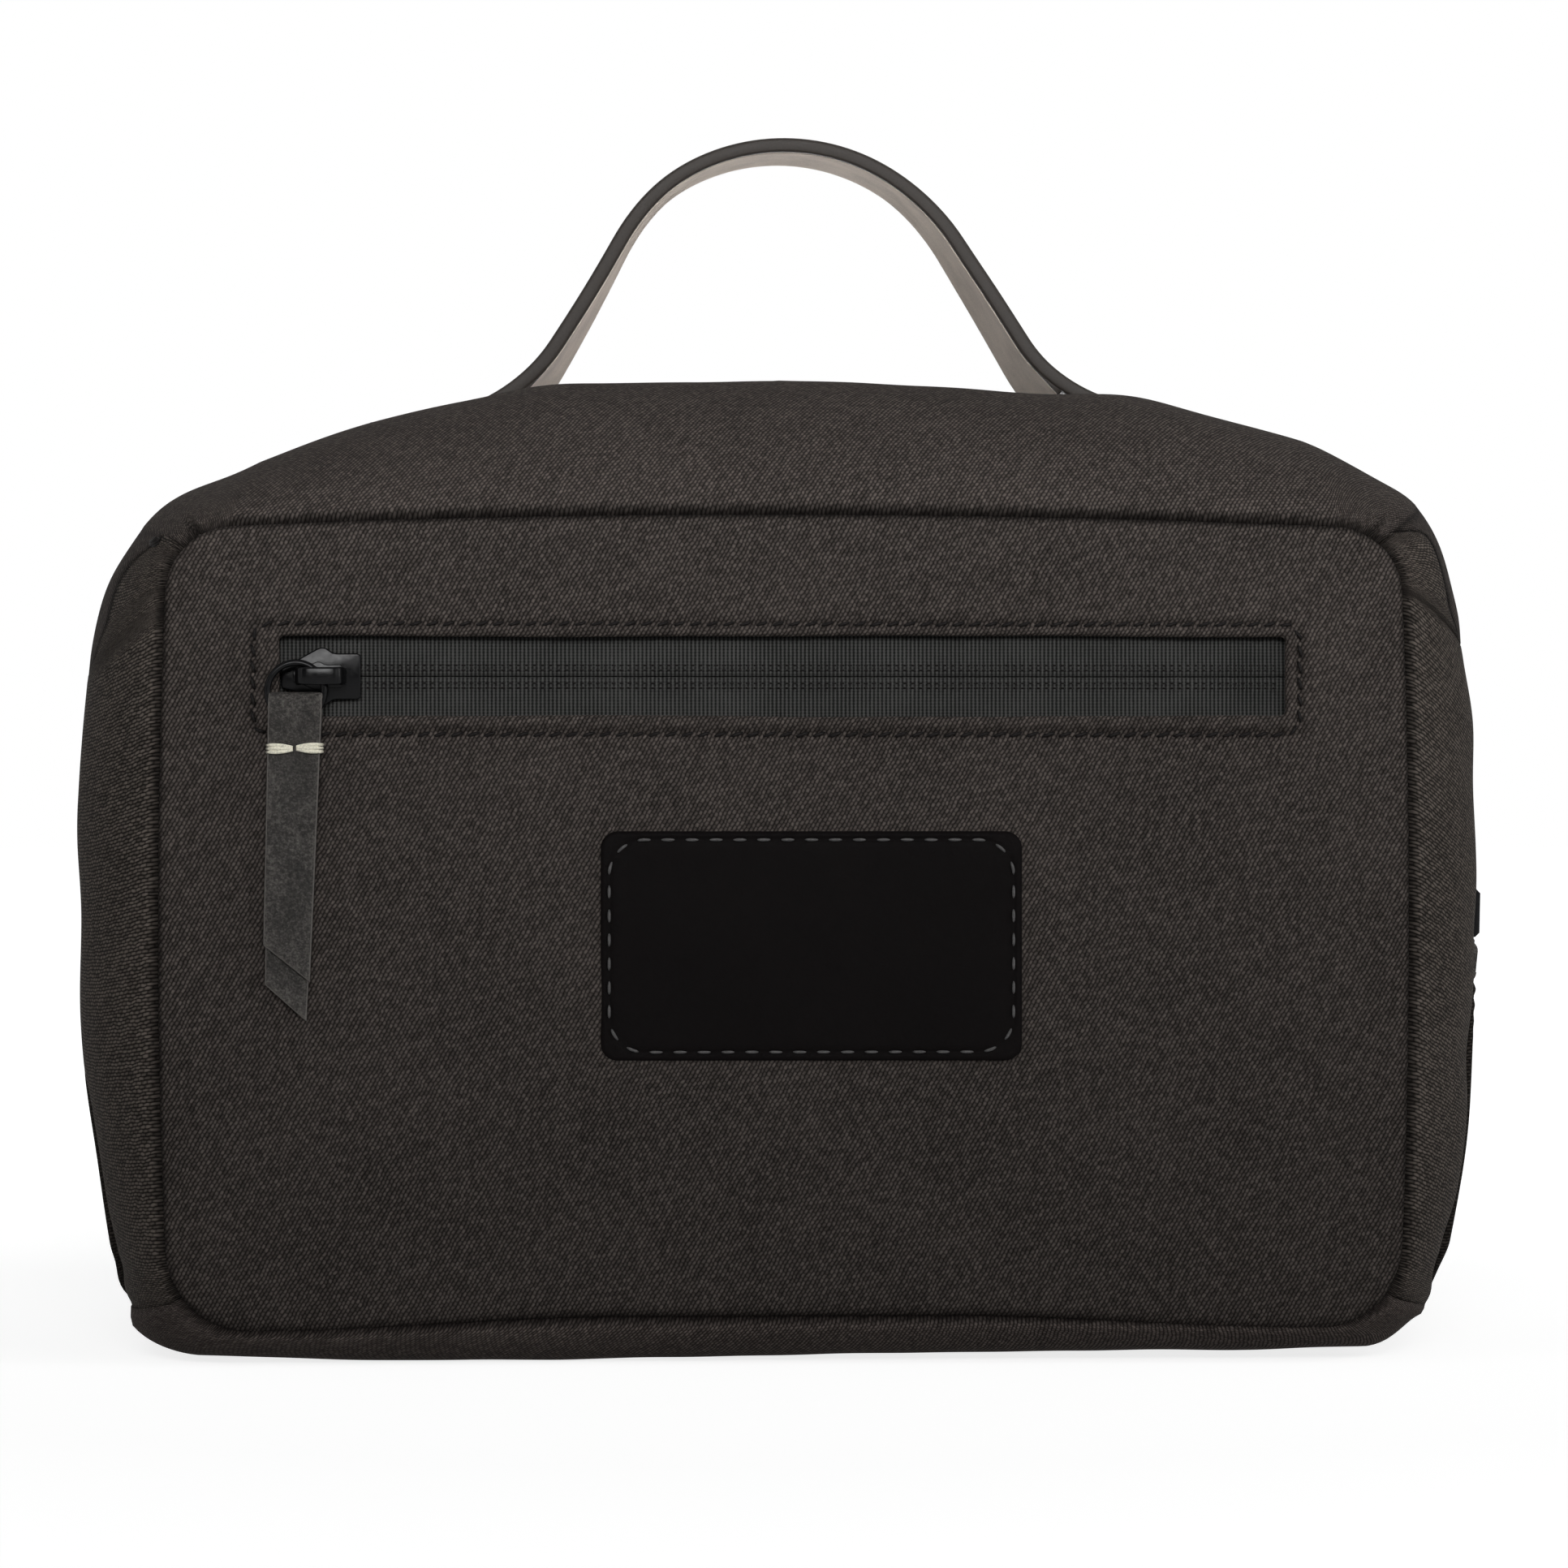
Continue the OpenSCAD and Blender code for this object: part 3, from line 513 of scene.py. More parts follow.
def twill(name, rgb, lean_deg, row=0.88, contrast=1.25, painted_shade_at_foot=1.0):
    """Twill cloth: leaning ribs of yarn broken into short raised floats, staggered from rib
    to rib, darker in the gaps, with slubs, fuzz and faint wear. Painted shade darkens it in the
    sewn seams, creases and hems, and on the panel towards its foot."""
    pitch = 0.66
    m = new_shader(name)
    vector, u, v = m.uv()
    u = m.times(m.noise(vector, 0.35, 2.0), 0.9, u)
    a = math.radians(lean_deg)
    across = m.plus(m.times(u, math.sin(a)), m.times(v, -math.cos(a)))
    along = m.plus(m.times(u, math.cos(a)), m.times(v, math.sin(a)))
    rib_at = m.math("DIVIDE", across, pitch)
    rib_no = m.math("FLOOR", rib_at)
    float_at = m.math("DIVIDE", m.plus(along, m.times(rib_no, 0.42 * row)), row)
    rib, tip = m.half_wave(rib_at), m.half_wave(float_at)
    height = m.times(m.math("POWER", rib, 0.9), m.times(m.math("POWER", tip, 0.6), 0.75, 0.25))
    cell = m.node("CombineXYZ", [rib_no, m.math("FLOOR", float_at)]).outputs[0]
    lone = m.node("TexWhiteNoise", {"Vector": cell}, noise_dimensions="2D").outputs["Value"]
    fuzz, wear = m.noise(vector, 4.5, 4.0, 0.7), m.noise(vector, 0.035, 4.0, 0.6)
    slub = m.noise(vector, 0.8, 2.0)
    tone = m.times(m.times(height, 0.58, 0.15), m.times(lone, 0.42, 0.79))
    tone = m.times(tone, m.ramp(slub, 0.3, 0.7, 0.84, 1.14))
    tone = m.plus(m.plus(tone, m.around(fuzz, 0.30)), m.around(wear, 0.16))
    tone = m.times(tone, contrast, 0.46 * (1 - contrast))
    yarn = m.tints(tone, rgb, (0.08, 0.18), (0.48, 1), (0.95, 2.4))
    # Painted shade: the colour is darkened by the seam attribute's share, and on the panel also
    # towards its foot
    clear = m.node("Attribute", attribute_name="painted_light_share").outputs["Fac"]
    painted_shade_factor = m.times(clear, m.ramp(v, 5, 150, painted_shade_at_foot, 0.5 + 0.5 * painted_shade_at_foot))
    light = m.tints(painted_shade_factor, (1, 1, 1), (0.0, 0.12), (1.0, 1))
    colour = m.node("Mix", {"Factor": 1.0, "A": yarn, "B": light}, data_type="RGBA",
                    blend_type="MULTIPLY").outputs["Result"]
    normal = m.bump(m.times(fuzz, 0.25, height), 0.16, 0.8, Normal=m.bump(slub, 0.2, 0.4))
    return m.finish(colour, m.ramp(fuzz, 0.3, 0.7, 0.85, 1.0), 0.06, normal)


def ribbed_tape(name, rgb):
    """Woven zip tape with fine ribs across its length"""
    m = new_shader(name)
    vector, u, v = m.uv()
    height = m.times(m.wave(v, 0.55), 0.35, m.wave(u, 0.72))
    tone = m.plus(m.times(height, 0.42), m.times(m.noise(vector, 4.0), 0.35))
    tone = m.plus(tone, m.times(m.noise(vector, 0.08), 0.3, -0.12))
    colour = m.tints(m.times(tone, 2.1, -0.5), rgb, (0.1, 0.3), (0.5, 1), (0.95, 2.2))
    return m.finish(colour, 0.85, 0.08, m.bump(height, 0.08))


def plain_weave(name, rgb, pitch=0.5):
    m = new_shader(name)
    vector, u, v = m.uv()
    height = m.times(m.wave(u, pitch), m.wave(v, pitch))
    tone = m.plus(m.times(height, 0.5), m.times(m.noise(vector, 2.5), 0.5))
    m.bsdf.inputs["Sheen Weight"].default_value = 0.1
    return m.finish(m.tints(tone, rgb, (0.1, 0.6), (0.9, 1.25)), 0.75, None, m.bump(height, 0.05))


def grained_leather(name, rgb, grain, rough=0.6, relief=0.10, contrast=1.0, edge=1.6, gloss=0.16,
                    fleck=0.0):
    """Leather with a fine pebbled grain, pores, and paler edges, partly worn and partly a painted
    highlight
    """
    m = new_shader(name)
    place = m.place()
    cells = m.node("TexVoronoi", {"Vector": place, "Scale": grain / MM}, feature="DISTANCE_TO_EDGE")
    pores = m.noise(place, 2.6 / MM, 3.0, 0.6)
    mottle = m.noise(place, (0.35 + 0.9 * fleck) / MM, 4.0, 0.7)
    cloud = m.noise(place, (0.05 + 0.12 * fleck) / MM)
    tone = m.times(pores, 0.45 * contrast, 0.5 - 0.225 * contrast)
    tone = m.plus(m.plus(tone, m.around(mottle, 0.5 * contrast)), m.around(cloud, 0.3 * contrast))
    # Paler edges: wear, and partly a painted highlight
    tone = m.plus(tone, m.times(m.paler_edges(0.50, 0.56, 0.5), edge * 0.35))
    height = m.times(pores, 0.6, m.ramp(cells.outputs["Distance"], 0.0, 0.25, 0.0, 1.0))
    return m.finish(m.tints(tone, rgb, (0.1, 0.5), (0.5, 1), (1.0, 2.6)),
                    m.ramp(pores, 0.3, 0.7, rough - 0.07, rough + 0.08), gloss,
                    m.bump(height, relief, 0.6))


def suede(name, rgb):
    m = new_shader(name)
    place = m.place()
    nap = m.noise(place, 3.5 / MM, 5.0, 0.75)
    tone = m.plus(m.times(nap, 0.55), m.times(m.noise(place, 0.12 / MM, 4.0, 0.6), 0.45))
    return m.finish(m.tints(tone, rgb, (0.25, 0.62), (0.5, 1), (0.8, 1.35)), 0.95, 0.1,
                    m.bump(nap, 0.15, 0.7))


def black_paint(name, rgb, rough=0.19):
    """Black-plated metal with faint wear and brushed unevenness"""
    m = new_shader(name)
    place = m.place()
    fine = m.noise(place, 1.2 / MM, 4.0, 0.6)
    tone = m.plus(m.times(m.noise(place, 0.2 / MM), 0.6), m.times(m.paler_edges(0.52, 0.62, 1.0), 0.5))
    unevenness = m.ramp(fine, 0.3, 0.7, rough - 0.05, rough + 0.08)
    return m.finish(m.tints(tone, rgb, (0.1, 0.7), (0.5, 1), (1.0, 3.5)), unevenness, 0.11,
                    m.bump(fine, 0.02, 0.4))


def twisted_thread(name, rgb):
    m = new_shader(name)
    strands = m.noise(m.place(), 3.2 / MM, 3.0, 0.6)
    return m.finish(m.tints(strands, rgb, (0.25, 0.6), (0.6, 1), (0.9, 1.25)), 0.6, 0.15,
                    m.bump(strands, 0.08, 0.6))


def moulded(name, rgb, rough):
    m = new_shader(name)
    speck = m.noise(m.place(), 2.0 / MM)
    unevenness = m.ramp(speck, 0.3, 0.7, rough - 0.08, rough + 0.08)
    return m.finish(m.tints(speck, rgb, (0.2, 0.8), (0.8, 1.3)), unevenness, 0.15,
                    m.bump(speck, 0.02, 0.4))


# The panel's cloth has painted shade: darker towards its foot
panel_cloth = twill("panel_twill", srgb(63, 58, 55), 60, painted_shade_at_foot=0.66)
top_cloth = twill("top_band_twill", srgb(62, 57, 54), 60)
side_cloth = twill("side_band_twill", srgb(62, 57, 53), 84, row=1.5, contrast=1.7)
base_twill = twill("base_twill", srgb(66, 60, 57), 60)
lining_cloth = plain_weave("lining_weave", srgb(110, 106, 101))
tape_cloth = ribbed_tape("zip_tape_weave", srgb(45, 45, 44))
coil_nylon = moulded("coil_nylon", srgb(34, 34, 36), 0.4)
black_metal = black_paint("black_plating", srgb(13, 13, 14))
pull_leather = grained_leather("pull_leather", srgb(52, 50, 48), 2.2, 0.65, contrast=3.2,
                               gloss=0.10, fleck=1.0)
# The pull's bevelled rims get a paler material: a painted highlight
painted_rim_highlight = moulded("painted_rim_highlight", srgb(84, 81, 78), 0.5)
patch_leather = grained_leather("patch_leather", srgb(8, 6, 6), 1.1, relief=0.04, contrast=0.6,
                                edge=0.5, gloss=0.04)
strap_leather = grained_leather("strap_leather", srgb(46, 43, 41), 1.2, 0.55)
edge_paint = moulded("edge_paint", srgb(47, 43, 40), 0.5)
pale_suede = suede("pale_suede", srgb(224, 211, 199))
dark_thread = twisted_thread("dark_thread", srgb(14, 11, 10))
grey_thread = twisted_thread("grey_thread", srgb(84, 83, 83))
cream_thread = twisted_thread("cream_thread", srgb(222, 218, 200))
stiff_board = moulded("stiff_board", srgb(150, 138, 118), 0.8)


# ------------------------------------------------------------------ bands round the halves

SEAM_W, SEAM_SINK, STITCH_PITCH = 0.85, 2.6, 2.9
HEM_R = 1.3
CURVE_ROWS = 45
LAST_CURVE_ROW = CURVE_ROWS - 1
BAND_STEP, FINE_STEP = 1.1, 0.6
SEAM_LEFT, SEAM_RIGHT = -1.50, 1.44
TUCK_END = 0.70


def curve_turns(count):
    """Turns over a band's curve from its seam to the ridge, closer together at the seam"""
    return SEAM_TURN + (90 - SEAM_TURN) * np.linspace(0, 1, count) ** 1.55


def band_rows():
    """(t, y past the curve, inset) of each line across a band, from its seam to its hem"""
    rows = [(t, 0.0, 0.0) for t in curve_turns(CURVE_ROWS)] + [(90, HEM_W - HEM_R, 0.0)]
    for a in np.radians([18, 36, 54, 72, 90]):
        rows.append((90, HEM_W - HEM_R + HEM_R * math.sin(a), HEM_R * (1 - math.cos(a))))
    rows += [(90, HEM_W, 2.4), (90, HEM_W, HEM_T - 0.4), (90, HEM_W - 0.4, HEM_T), (90, 0.6, HEM_T)]
    return np.array(rows)


def hem_draw(side, s):
    """How far a half's hem lies inside the ridge. The front half's side pieces are drawn in
    low on the sides, so that the zip's groove shows there; the rear half's stand up."""
    s = np.asarray(s)
    a = np.abs(s)
    if side == REAR:
        past_seam = smooth(a, 1.15, 1.47)
        stand = (1.9 + 0.5 * smooth(a, 2.8, 3.1) + 1.5 * (s > 0)) * (1 - smooth(a, 3.38, 3.7))
        hidden = 0.5 * smooth(-s, 2.1, 2.25) * (1 - smooth(-s, 2.64, 2.72))
        fray = 0.35 * np.sin(2 * math.pi * s / 0.0275) * bump(s, 2.51, 0.08)
        return 1.6 * (1 - past_seam) - stand * past_seam + hidden - fray
    left = 0.6 * smooth(a, 2.68, 2.76) + 0.6 * smooth(a, 2.9, 3.0) + 0.8 * bump(a, 3.38, 0.16)
    right = (0.25 * smooth(a, 1.9, 2.1) + 0.7 * smooth(a, 2.4, 2.62) + 0.7 * bump(a, 2.67, 0.06)
             + 1.1 * smooth(a, 2.9, 3.0))
    return by_side(s, left, right) * (1 - smooth(a, 3.37, 3.5))


def hem_cut(s):
    """Width of the strip that shows past the front side pieces below the corner seams, where
    the top piece goes on under them"""
    a = np.abs(s)
    left = 1.3 * (1 - smooth(a, 1.9, 2.07)) + 3.3 * bump(a, 1.515, 0.12)
    right = 1.25 * (1 - smooth(a, 1.86, 2.01)) + 4.0 * bump(a, 1.44, 0.07)
    return by_side(s, left, right)


def cut_angle(s):
    """Turn at which a side piece that stops short of the ridge has its edge, in degrees"""
    strip = hem_cut(s)
    outermost = by_side(s, 14.0, 18.5)
    return 90 - (outermost + 17.4 * np.sqrt(strip)) * smooth(strip, 0.0, 0.35)


def band_base(side, s, rows, cut=True):
    ss, t = np.meshgrid(s, rows[:, 0], indexing="ij")
    if side == FRONT and cut:
        t = SEAM_TURN + (t - SEAM_TURN) * ((cut_angle(s) - SEAM_TURN) / (90 - SEAM_TURN))[:, None]
    t = np.radians(t)
    f = rise(t)[..., None]
    drawn = hem_draw(side, ss) * (1 - smooth(np.abs(ss), ZIP_S, 4.0))
    xz = PANEL.point(ss) * (1 - f) + ridge_point(ss, drawn + rows[None, :, 2]) * f
    return at_y(xz, side * (HALF_D - run_depth(ss) * reach(t) - rows[None, :, 1]))


def seam_profile(d):
    """Height of cloth at a distance from a sewn seam: a tight groove between two soft rolls"""
    return -SEAM_SINK * np.exp(-(d / SEAM_W) ** 2) - 0.8 * np.exp(-d / 2.0)


def sewn_relief(u, d, seed):
    """The seam's groove and little gathers at every stitch, which fade into the cloth"""
    wander = np.array([noise.noise(Vector((x / 9, seed, 0))) for x in u.ravel()]).reshape(u.shape)
    gathers = 0.5 + 0.5 * np.sin(2 * math.pi * (u / STITCH_PITCH + 0.6 * wander))
    slack = np.sin(2 * math.pi * (u / (2 * STITCH_PITCH) + wander))
    return seam_profile(d) - 0.30 * gathers * bump(d, 0.9, 0.9) - 0.10 * slack * bump(d, 2.2, 1.6)


# (place along the outline, half width, depth, drift per millimetre away from the panel)
CREASES = ((-1.33, 0.022, 1.9, 0.0), (1.345, 0.020, 2.0, -0.002), (-3.52, 0.09, 0.7, 0.0),
           (3.47, 0.09, 0.7, 0.0), (-1.62, 0.05, 0.5, 0.006))


def crease_lines(ss, across):
    """(half width, depth, place of its line along the outline, strength) of each crease"""
    fade = bump(across, 1.5, 4.2)
    return [(width, depth, at + drift * across, fade) for at, width, depth, drift in CREASES]


def band_relief(side, s, points, across, along):
    """Height of the cloth over the smooth band: seam, gathers, slack and corner creases"""
    ss = s[:, None]
    seed = 3 if side == FRONT else 9
    relief = sewn_relief(along, across, seed)
    relief += 0.55 * ripple(points, 48, seed) * smooth(across, 2, 14)
    relief += 0.22 * ripple(points, 15, seed + 4) * smooth(across, 1, 6)
    relief += 0.14 * ripple(points, 6, seed + 1) * np.exp(-across / 6.0)
    for width, depth, line, fade in crease_lines(ss, across):
        rolls = sum(bump(ss, line + k * width, 1.2 * width) for k in (-2, 2))
        relief += depth * fade * (0.5 * rolls - bump(ss, line, width))
    return relief


def crease_shade(s, across):
    """Painted shade: the share of light, painted into the cloth's colour, in the corner creases and
    the corner seams
    """
    ss = s[:, None]
    light = 1.0
    for width, depth, line, fade in crease_lines(ss, across):
        light = light * (1 - 0.42 * min(depth, 2.0) * bump(ss, line, 1.3 * width) * fade)
    seams = 0.45 * bump(ss, SEAM_LEFT - 0.012, 0.016) + 0.8 * bump(ss, SEAM_RIGHT + 0.012, 0.018)
    return light * (1 - np.clip(seams, 0, 1))


def band_grid(side, s, whole=False):
    """Points of a band over the run s. The front half's top piece is whole: it goes on past
    its corner seams under the side pieces, and shows there as a strip along the ridge that painted
    shade darkens."""
    rows = band_rows()
    points = band_base(side, s, rows, cut=not whole)
    uv = grid_uv(points)
    across, row_no = uv[..., 1], np.arange(len(rows))
    normals = outward_normals(points)
    relief = band_relief(side, s, points, across, uv[..., 0]) * (1 - smooth(row_no, 42, 47))
    points = points + normals * relief[..., None]
    # clear is painted shade, multiplied into the cloth's colour: dark in the seam, the corner
    # creases and the corner seams
    clear = smooth(across, 0.2, 2.2) * crease_shade(s, across)
    if side == REAR:
        # Painted shade on the rear hem's edge, down in the zip's groove
        clear = clear * (1 - 0.75 * smooth(row_no, 43, 45))
    elif whole:
        past = np.maximum(SEAM_LEFT - s, s - SEAM_RIGHT)[:, None]
        under = smooth(past, -0.012, 0.02)
        beyond = rows[None, :, 0] - cut_angle(s)[:, None]
        normals[:, CURVE_ROWS:] = normals[:, LAST_CURVE_ROW:CURVE_ROWS]
        sink = under * (0.12 + 1.0 * (1 - smooth(beyond, -1.5, 2.0)))
        sink = sink + 3.0 * smooth(past, TUCK_END - 0.12, TUCK_END - 0.01)
        lift = 0.4 * bump(s, -1.70, 0.12) + 0.35 * bump(s, 1.88, 0.09) + 0.35 * bump(s, 1.40, 0.08)
        sink = sink - lift[:, None] * smooth(beyond, 0, 8)
        points = points - normals * (sink * smooth(across, 0.0, 0.8))[..., None]
        # Painted shade on the strip that goes on under the side pieces
        clear = clear * (1 - under * (0.96 - 0.72 * smooth(beyond, 1.5, 6.0)))
    else:
        # Painted shade along the side piece's edge where the strip shows past it
        painted_hem_shade = smooth(row_no, 42.2, LAST_CURVE_ROW) * smooth(hem_cut(s), 0.15, 0.5)[:, None]
        clear = clear * (1 - 0.93 * painted_hem_shade)
    points[..., 2] = np.maximum(points[..., 2], FLOOR_GAP)
    return points, uv, clear


def make_bands(side, prefix):
    """The band of one half in its three sewn pieces: left, top and right"""
    tuck = TUCK_END if side == FRONT else 0.0
    runs = {"left": (-ZIP_S, SEAM_LEFT), "top": (SEAM_LEFT - tuck, SEAM_RIGHT + tuck),
            "right": (SEAM_RIGHT, ZIP_S)}
    pieces = {}
    for part, (low, high) in runs.items():
        s = even_steps(low, high, FINE_STEP if (side, part) == (REAR, "right") else BAND_STEP)
        points, uv, clear = band_grid(side, s, whole=(side, part) == (FRONT, "top"))
        sheet = grid_object(f"{prefix}_{part}_cloth", points, uv, clear)
        pieces[part] = thicken(face_outwards(sheet), 1.2)
    return pieces


def make_knot(name):
    """Knot of thread where the left side piece's hem begins"""
    s = SEAM_LEFT - np.array([0.08, 0.055, 0.03])
    near = band_base(FRONT, s, band_rows())[:, LAST_CURVE_ROW]
    along = unit(near[2] - near[0])
    over = np.cross(along, (0.0, 1.0, 0.0))
    f = np.linspace(-1, 1, 13)[:, None]
    stand = np.array([0.0, -1.0, 0.0]) * (0.25 + 0.45 * np.cos(f * math.pi / 2))
    paths = [near[1] + along * half * f + over * (shift + 0.25 * f ** 2) + stand
             for shift, half in ((0.0, 1.3), (0.6, 0.9), (-0.6, 1.0))]
    return tubes_object(name, paths, 0.34)


# ------------------------------------------------------------------ panels

SLIT = (-60, 60, 80, 80.02, 0.005)
LIP_R = 0.9
DENSE = np.linspace(-5, 5, 2400)
STITCH_BOX = (WINDOW_LEFT - 4.6, WINDOW_RIGHT + 2.6, WINDOW_LOW - 3.2, WINDOW_TOP + 2.3)


def panel_loop():
    """Values of s all round a panel, in step with the corners of its window"""
    half = np.concatenate([np.linspace(k, k + 1, n, endpoint=False)
                           for k, n in enumerate((64, 12, 62, 12, 64))])
    return np.concatenate([half, [5.0], -half[:0:-1]])


def window_loop(s, left, right, low, top, corner):
    """Points of a window's outline that match the panel's own corners"""
    a = np.abs(s)
    mid = (left + right) / 2
    flip = np.where(s < 0, -1.0, 1.0)
    inner = np.where(s < 0, left, right) - flip * corner
    q, r = (np.clip(a - k, 0, 1) * math.pi / 2 for k in (1, 3))
    x = np.where(a < 1, mid + (inner - mid) * a, inner + flip * corner * np.sin(q))
    z = np.where(a < 1, top, top - corner + corner * np.cos(q))
    z = np.where((a > 2) & (a <= 3), top - corner + (low - top + 2 * corner) * (a - 2), z)
    x = np.where(a > 3, inner + flip * corner * np.cos(r), x)
    z = np.where(a > 3, low + corner - corner * np.sin(r), z)
    x = np.where(a > 4, inner + (mid - inner) * (a - 4), x)
    return np.stack([x, np.where(a > 4, low, z)], -1)


def distance_to(points, line):
    """Distance of each point from a dense closed line, both in X and Z"""
    flat = points.reshape(-1, 2)
    out = np.empty(len(flat))
    for k in range(0, len(flat), 4000):
        d = flat[k:k + 4000, None] - line[None]
        out[k:k + 4000] = np.sqrt((d ** 2).sum(-1).min(1))
    return out.reshape(points.shape[:-1])


def panel_relief(points, side, window):
    """Height of the cloth over a flat panel: its seam, slack, and the sewing round a window"""
    d = distance_to(points, PANEL.point(DENSE))
    p3 = at_y(points, side * HALF_D)
    seed = 21 if side == FRONT else 33
    x, z = points[..., 0], points[..., 1]
    around = np.degrees(np.arctan2(z - 78, x * 0.7)) * 1.55 + x * 0.45
    relief = sewn_relief(around, d, seed) - 0.35 * np.exp(-d / 9.0)
    relief += 0.5 * ripple(p3, 60, seed) * smooth(d, 3, 20)
    relief += 0.18 * ripple(p3, 19, seed + 5) * smooth(d, 2, 12)
    relief += 0.12 * ripple(p3, 6, seed + 1) * np.exp(-d / 4.5)
    if window:
        rim, sewn = (distance_to(points, window_loop(DENSE, *box, 1.5)) for box in (
            (WINDOW_LEFT, WINDOW_RIGHT, WINDOW_LOW, WINDOW_TOP), STITCH_BOX))
        dents = 0.55 + 0.45 * np.cos(2 * math.pi * (x + z) / STITCH_PITCH)
        relief += 0.62 * bump(rim, 1.25, 1.05) - (0.30 + 0.38 * dents) * bump(sewn, 0, 0.6)
        relief += 0.16 * bump(sewn, 1.6, 0.9)
        relief += 0.22 * ripple(p3, 4.5, seed + 2) * bump(rim, 0, 3.5)
        relief += 0.14 * ripple(p3, 7, seed + 3) * bump(sewn, 0, 4.0)
    return relief, d


def window_lip(s):
    """The window's folded edge: where the flat cloth starts round it, and the way outwards"""
    edge, grown = (window_loop(s, WINDOW_LEFT - r, WINDOW_RIGHT + r, WINDOW_LOW - r, WINDOW_TOP + r,
                               LIP_R + r) for r in (0.0, LIP_R))
    wavy = grown.copy()
    wavy[..., 1] += 0.35 * ripple(at_y(grown, 0.0), 23, 5)
    wavy[..., 0] += 0.175 * ripple(at_y(grown, 0.0), 11, 6)
    return wavy, (grown - edge) / LIP_R


def make_panel(side, name, window):
    s = panel_loop()
    inner, outward = window_lip(s) if window else (window_loop(s, *SLIT), None)
    f = np.linspace(0, 1, 110) ** 1.25
    f = np.concatenate([f[:-1], 1 - (1 - f[-2]) * np.linspace(1, 0, 6)[1:]])
    xz = between(inner, PANEL.point(s), f)
    relief, from_seam = panel_relief(xz, side, window)
    points = at_y(xz, side * (HALF_D + relief))
    uv = xz * (-side, 1)
    # Painted shade along the seam
    clear = smooth(from_seam, 0.2, 2.0)
    if window:
        face = points[:, 0, 1] * side
        rings, flat = [], []
        for turn in np.radians([180, 155, 130, 105, 85, 65, 45, 25, 10]):
            rings.append(at_y(inner - outward * LIP_R * math.sin(turn),
                              side * (face - LIP_R * (1 - math.cos(turn)))))
            flat.append((inner - outward * LIP_R * turn) * (-side, 1))
        points = np.concatenate([np.stack(rings, 1), points], 1)
        uv = np.concatenate([np.stack(flat, 1), uv], 1)
        clear = np.concatenate([np.ones((len(s), len(rings))), clear], 1)
    points, uv, clear = (np.concatenate([v, v[:, -1:]], 1) for v in (points, uv, clear))
    points[:, -1, 1] -= side * 0.8
    obj = face_outwards(grid_object(name, points, uv, clear, wrap=True))
    return thicken(obj if window else weld(obj, 0.05), 0.7)


# ------------------------------------------------------------------ base

def make_base(name):
    right = even_steps(ZIP_S, 4.999, 1.4)
    s = np.concatenate([right, -right[::-1]])
    rows = curve_turns(22)[:, None] * (1, 0, 0)
    front, rear = band_base(FRONT, s, rows), band_base(REAR, s, rows)[:, ::-1]
    flat = between(front[:, -1], rear[:, 0], np.linspace(0, 1, 26)[1:-1])
    points = np.concatenate([front, flat, rear], 1)
    uv = grid_uv(points)
    edge = np.minimum(uv[..., 1], uv[:, -1:, 1] - uv[..., 1])
    relief = sewn_relief(uv[..., 0], edge, 40) + 0.2 * ripple(points, 14, 41)
    points = points + outward_normals(points) * relief[..., None]
    x, y, z = (points[..., k] for k in range(3))
    lifted = 1.5 * smooth(x, -70, 60) * smooth(-y, 18, 40)
    points[..., 2] = np.maximum(z + lifted * smooth(10 - z, 0, 8), 0.02)
    # The last argument is painted shade along the seams
    return thicken(face_outwards(grid_object(name, points, uv, smooth(edge, 0.2, 2.2))), 1.2)


# ------------------------------------------------------------------ linings and pouch

def lining_draw(side, s):
    """The lining follows its own hem where that is drawn in"""
    return np.maximum(hem_draw(side, s), 0) * (1 - smooth(np.abs(s), ZIP_S, 4.0))


def make_lining(side, name):
    """A flat sheet and a wall that follows the inside of the band up to its hem"""
    sheet_y = max(side * v[1] for v in box_mm(name.removesuffix("_cloth")))
    s = panel_loop()
    least = CLOTH_T + SEAM_GAP
    flat = at_y(between(window_loop(s, *SLIT), PANEL.point(s, least), np.linspace(0, 1, 30)),
                side * sheet_y)
    flat[..., 1] += side * 0.25 * ripple(flat, 30, 50 + side)
    sheet = grid_object(name, flat, wrap=True, flip=side == REAR)
    turns = np.linspace(SEAM_TURN, 90, 16)
    ss, t = np.meshgrid(even_steps(-ZIP_S, ZIP_S, 3.0), np.radians(turns), indexing="ij")
    inset = least + (TAPE_INSET + 1.2 - least) * smooth(turns, 60, 90)[None, :]
    g = rise(t)[..., None]
    xz = PANEL.point(ss, inset) * (1 - g) + ridge_point(ss, inset + lining_draw(side, ss)) * g
    wall = at_y(xz, side * (sheet_y - (run_depth(ss) - (HALF_D - sheet_y)) * reach(t)))
    wall = np.concatenate([wall, wall[:, -1:]], 1)
    wall[:, -1, 1] = side * (EDGE_Y + SEAM_GAP)
    tray = grid_object(name + "_wall", wall, grid_uv(wall), flip=side == REAR)
    return thicken(join(name, [sheet, tray]), 0.5)


def make_pouch(name):
    low, high = box_mm("pocket_bag")
    s, box = panel_loop(), (low[0], high[0], low[2], high[2], 5)
    xz = between(window_loop(s, *SLIT), window_loop(s, *box), np.linspace(0, 1, 26))
    y = high[1] - 0.15 - 0.5 * np.exp(-distance_to(xz, window_loop(DENSE, *box)) / 2)
    return thicken(grid_object(name, at_y(xz, y), wrap=True), 0.35)


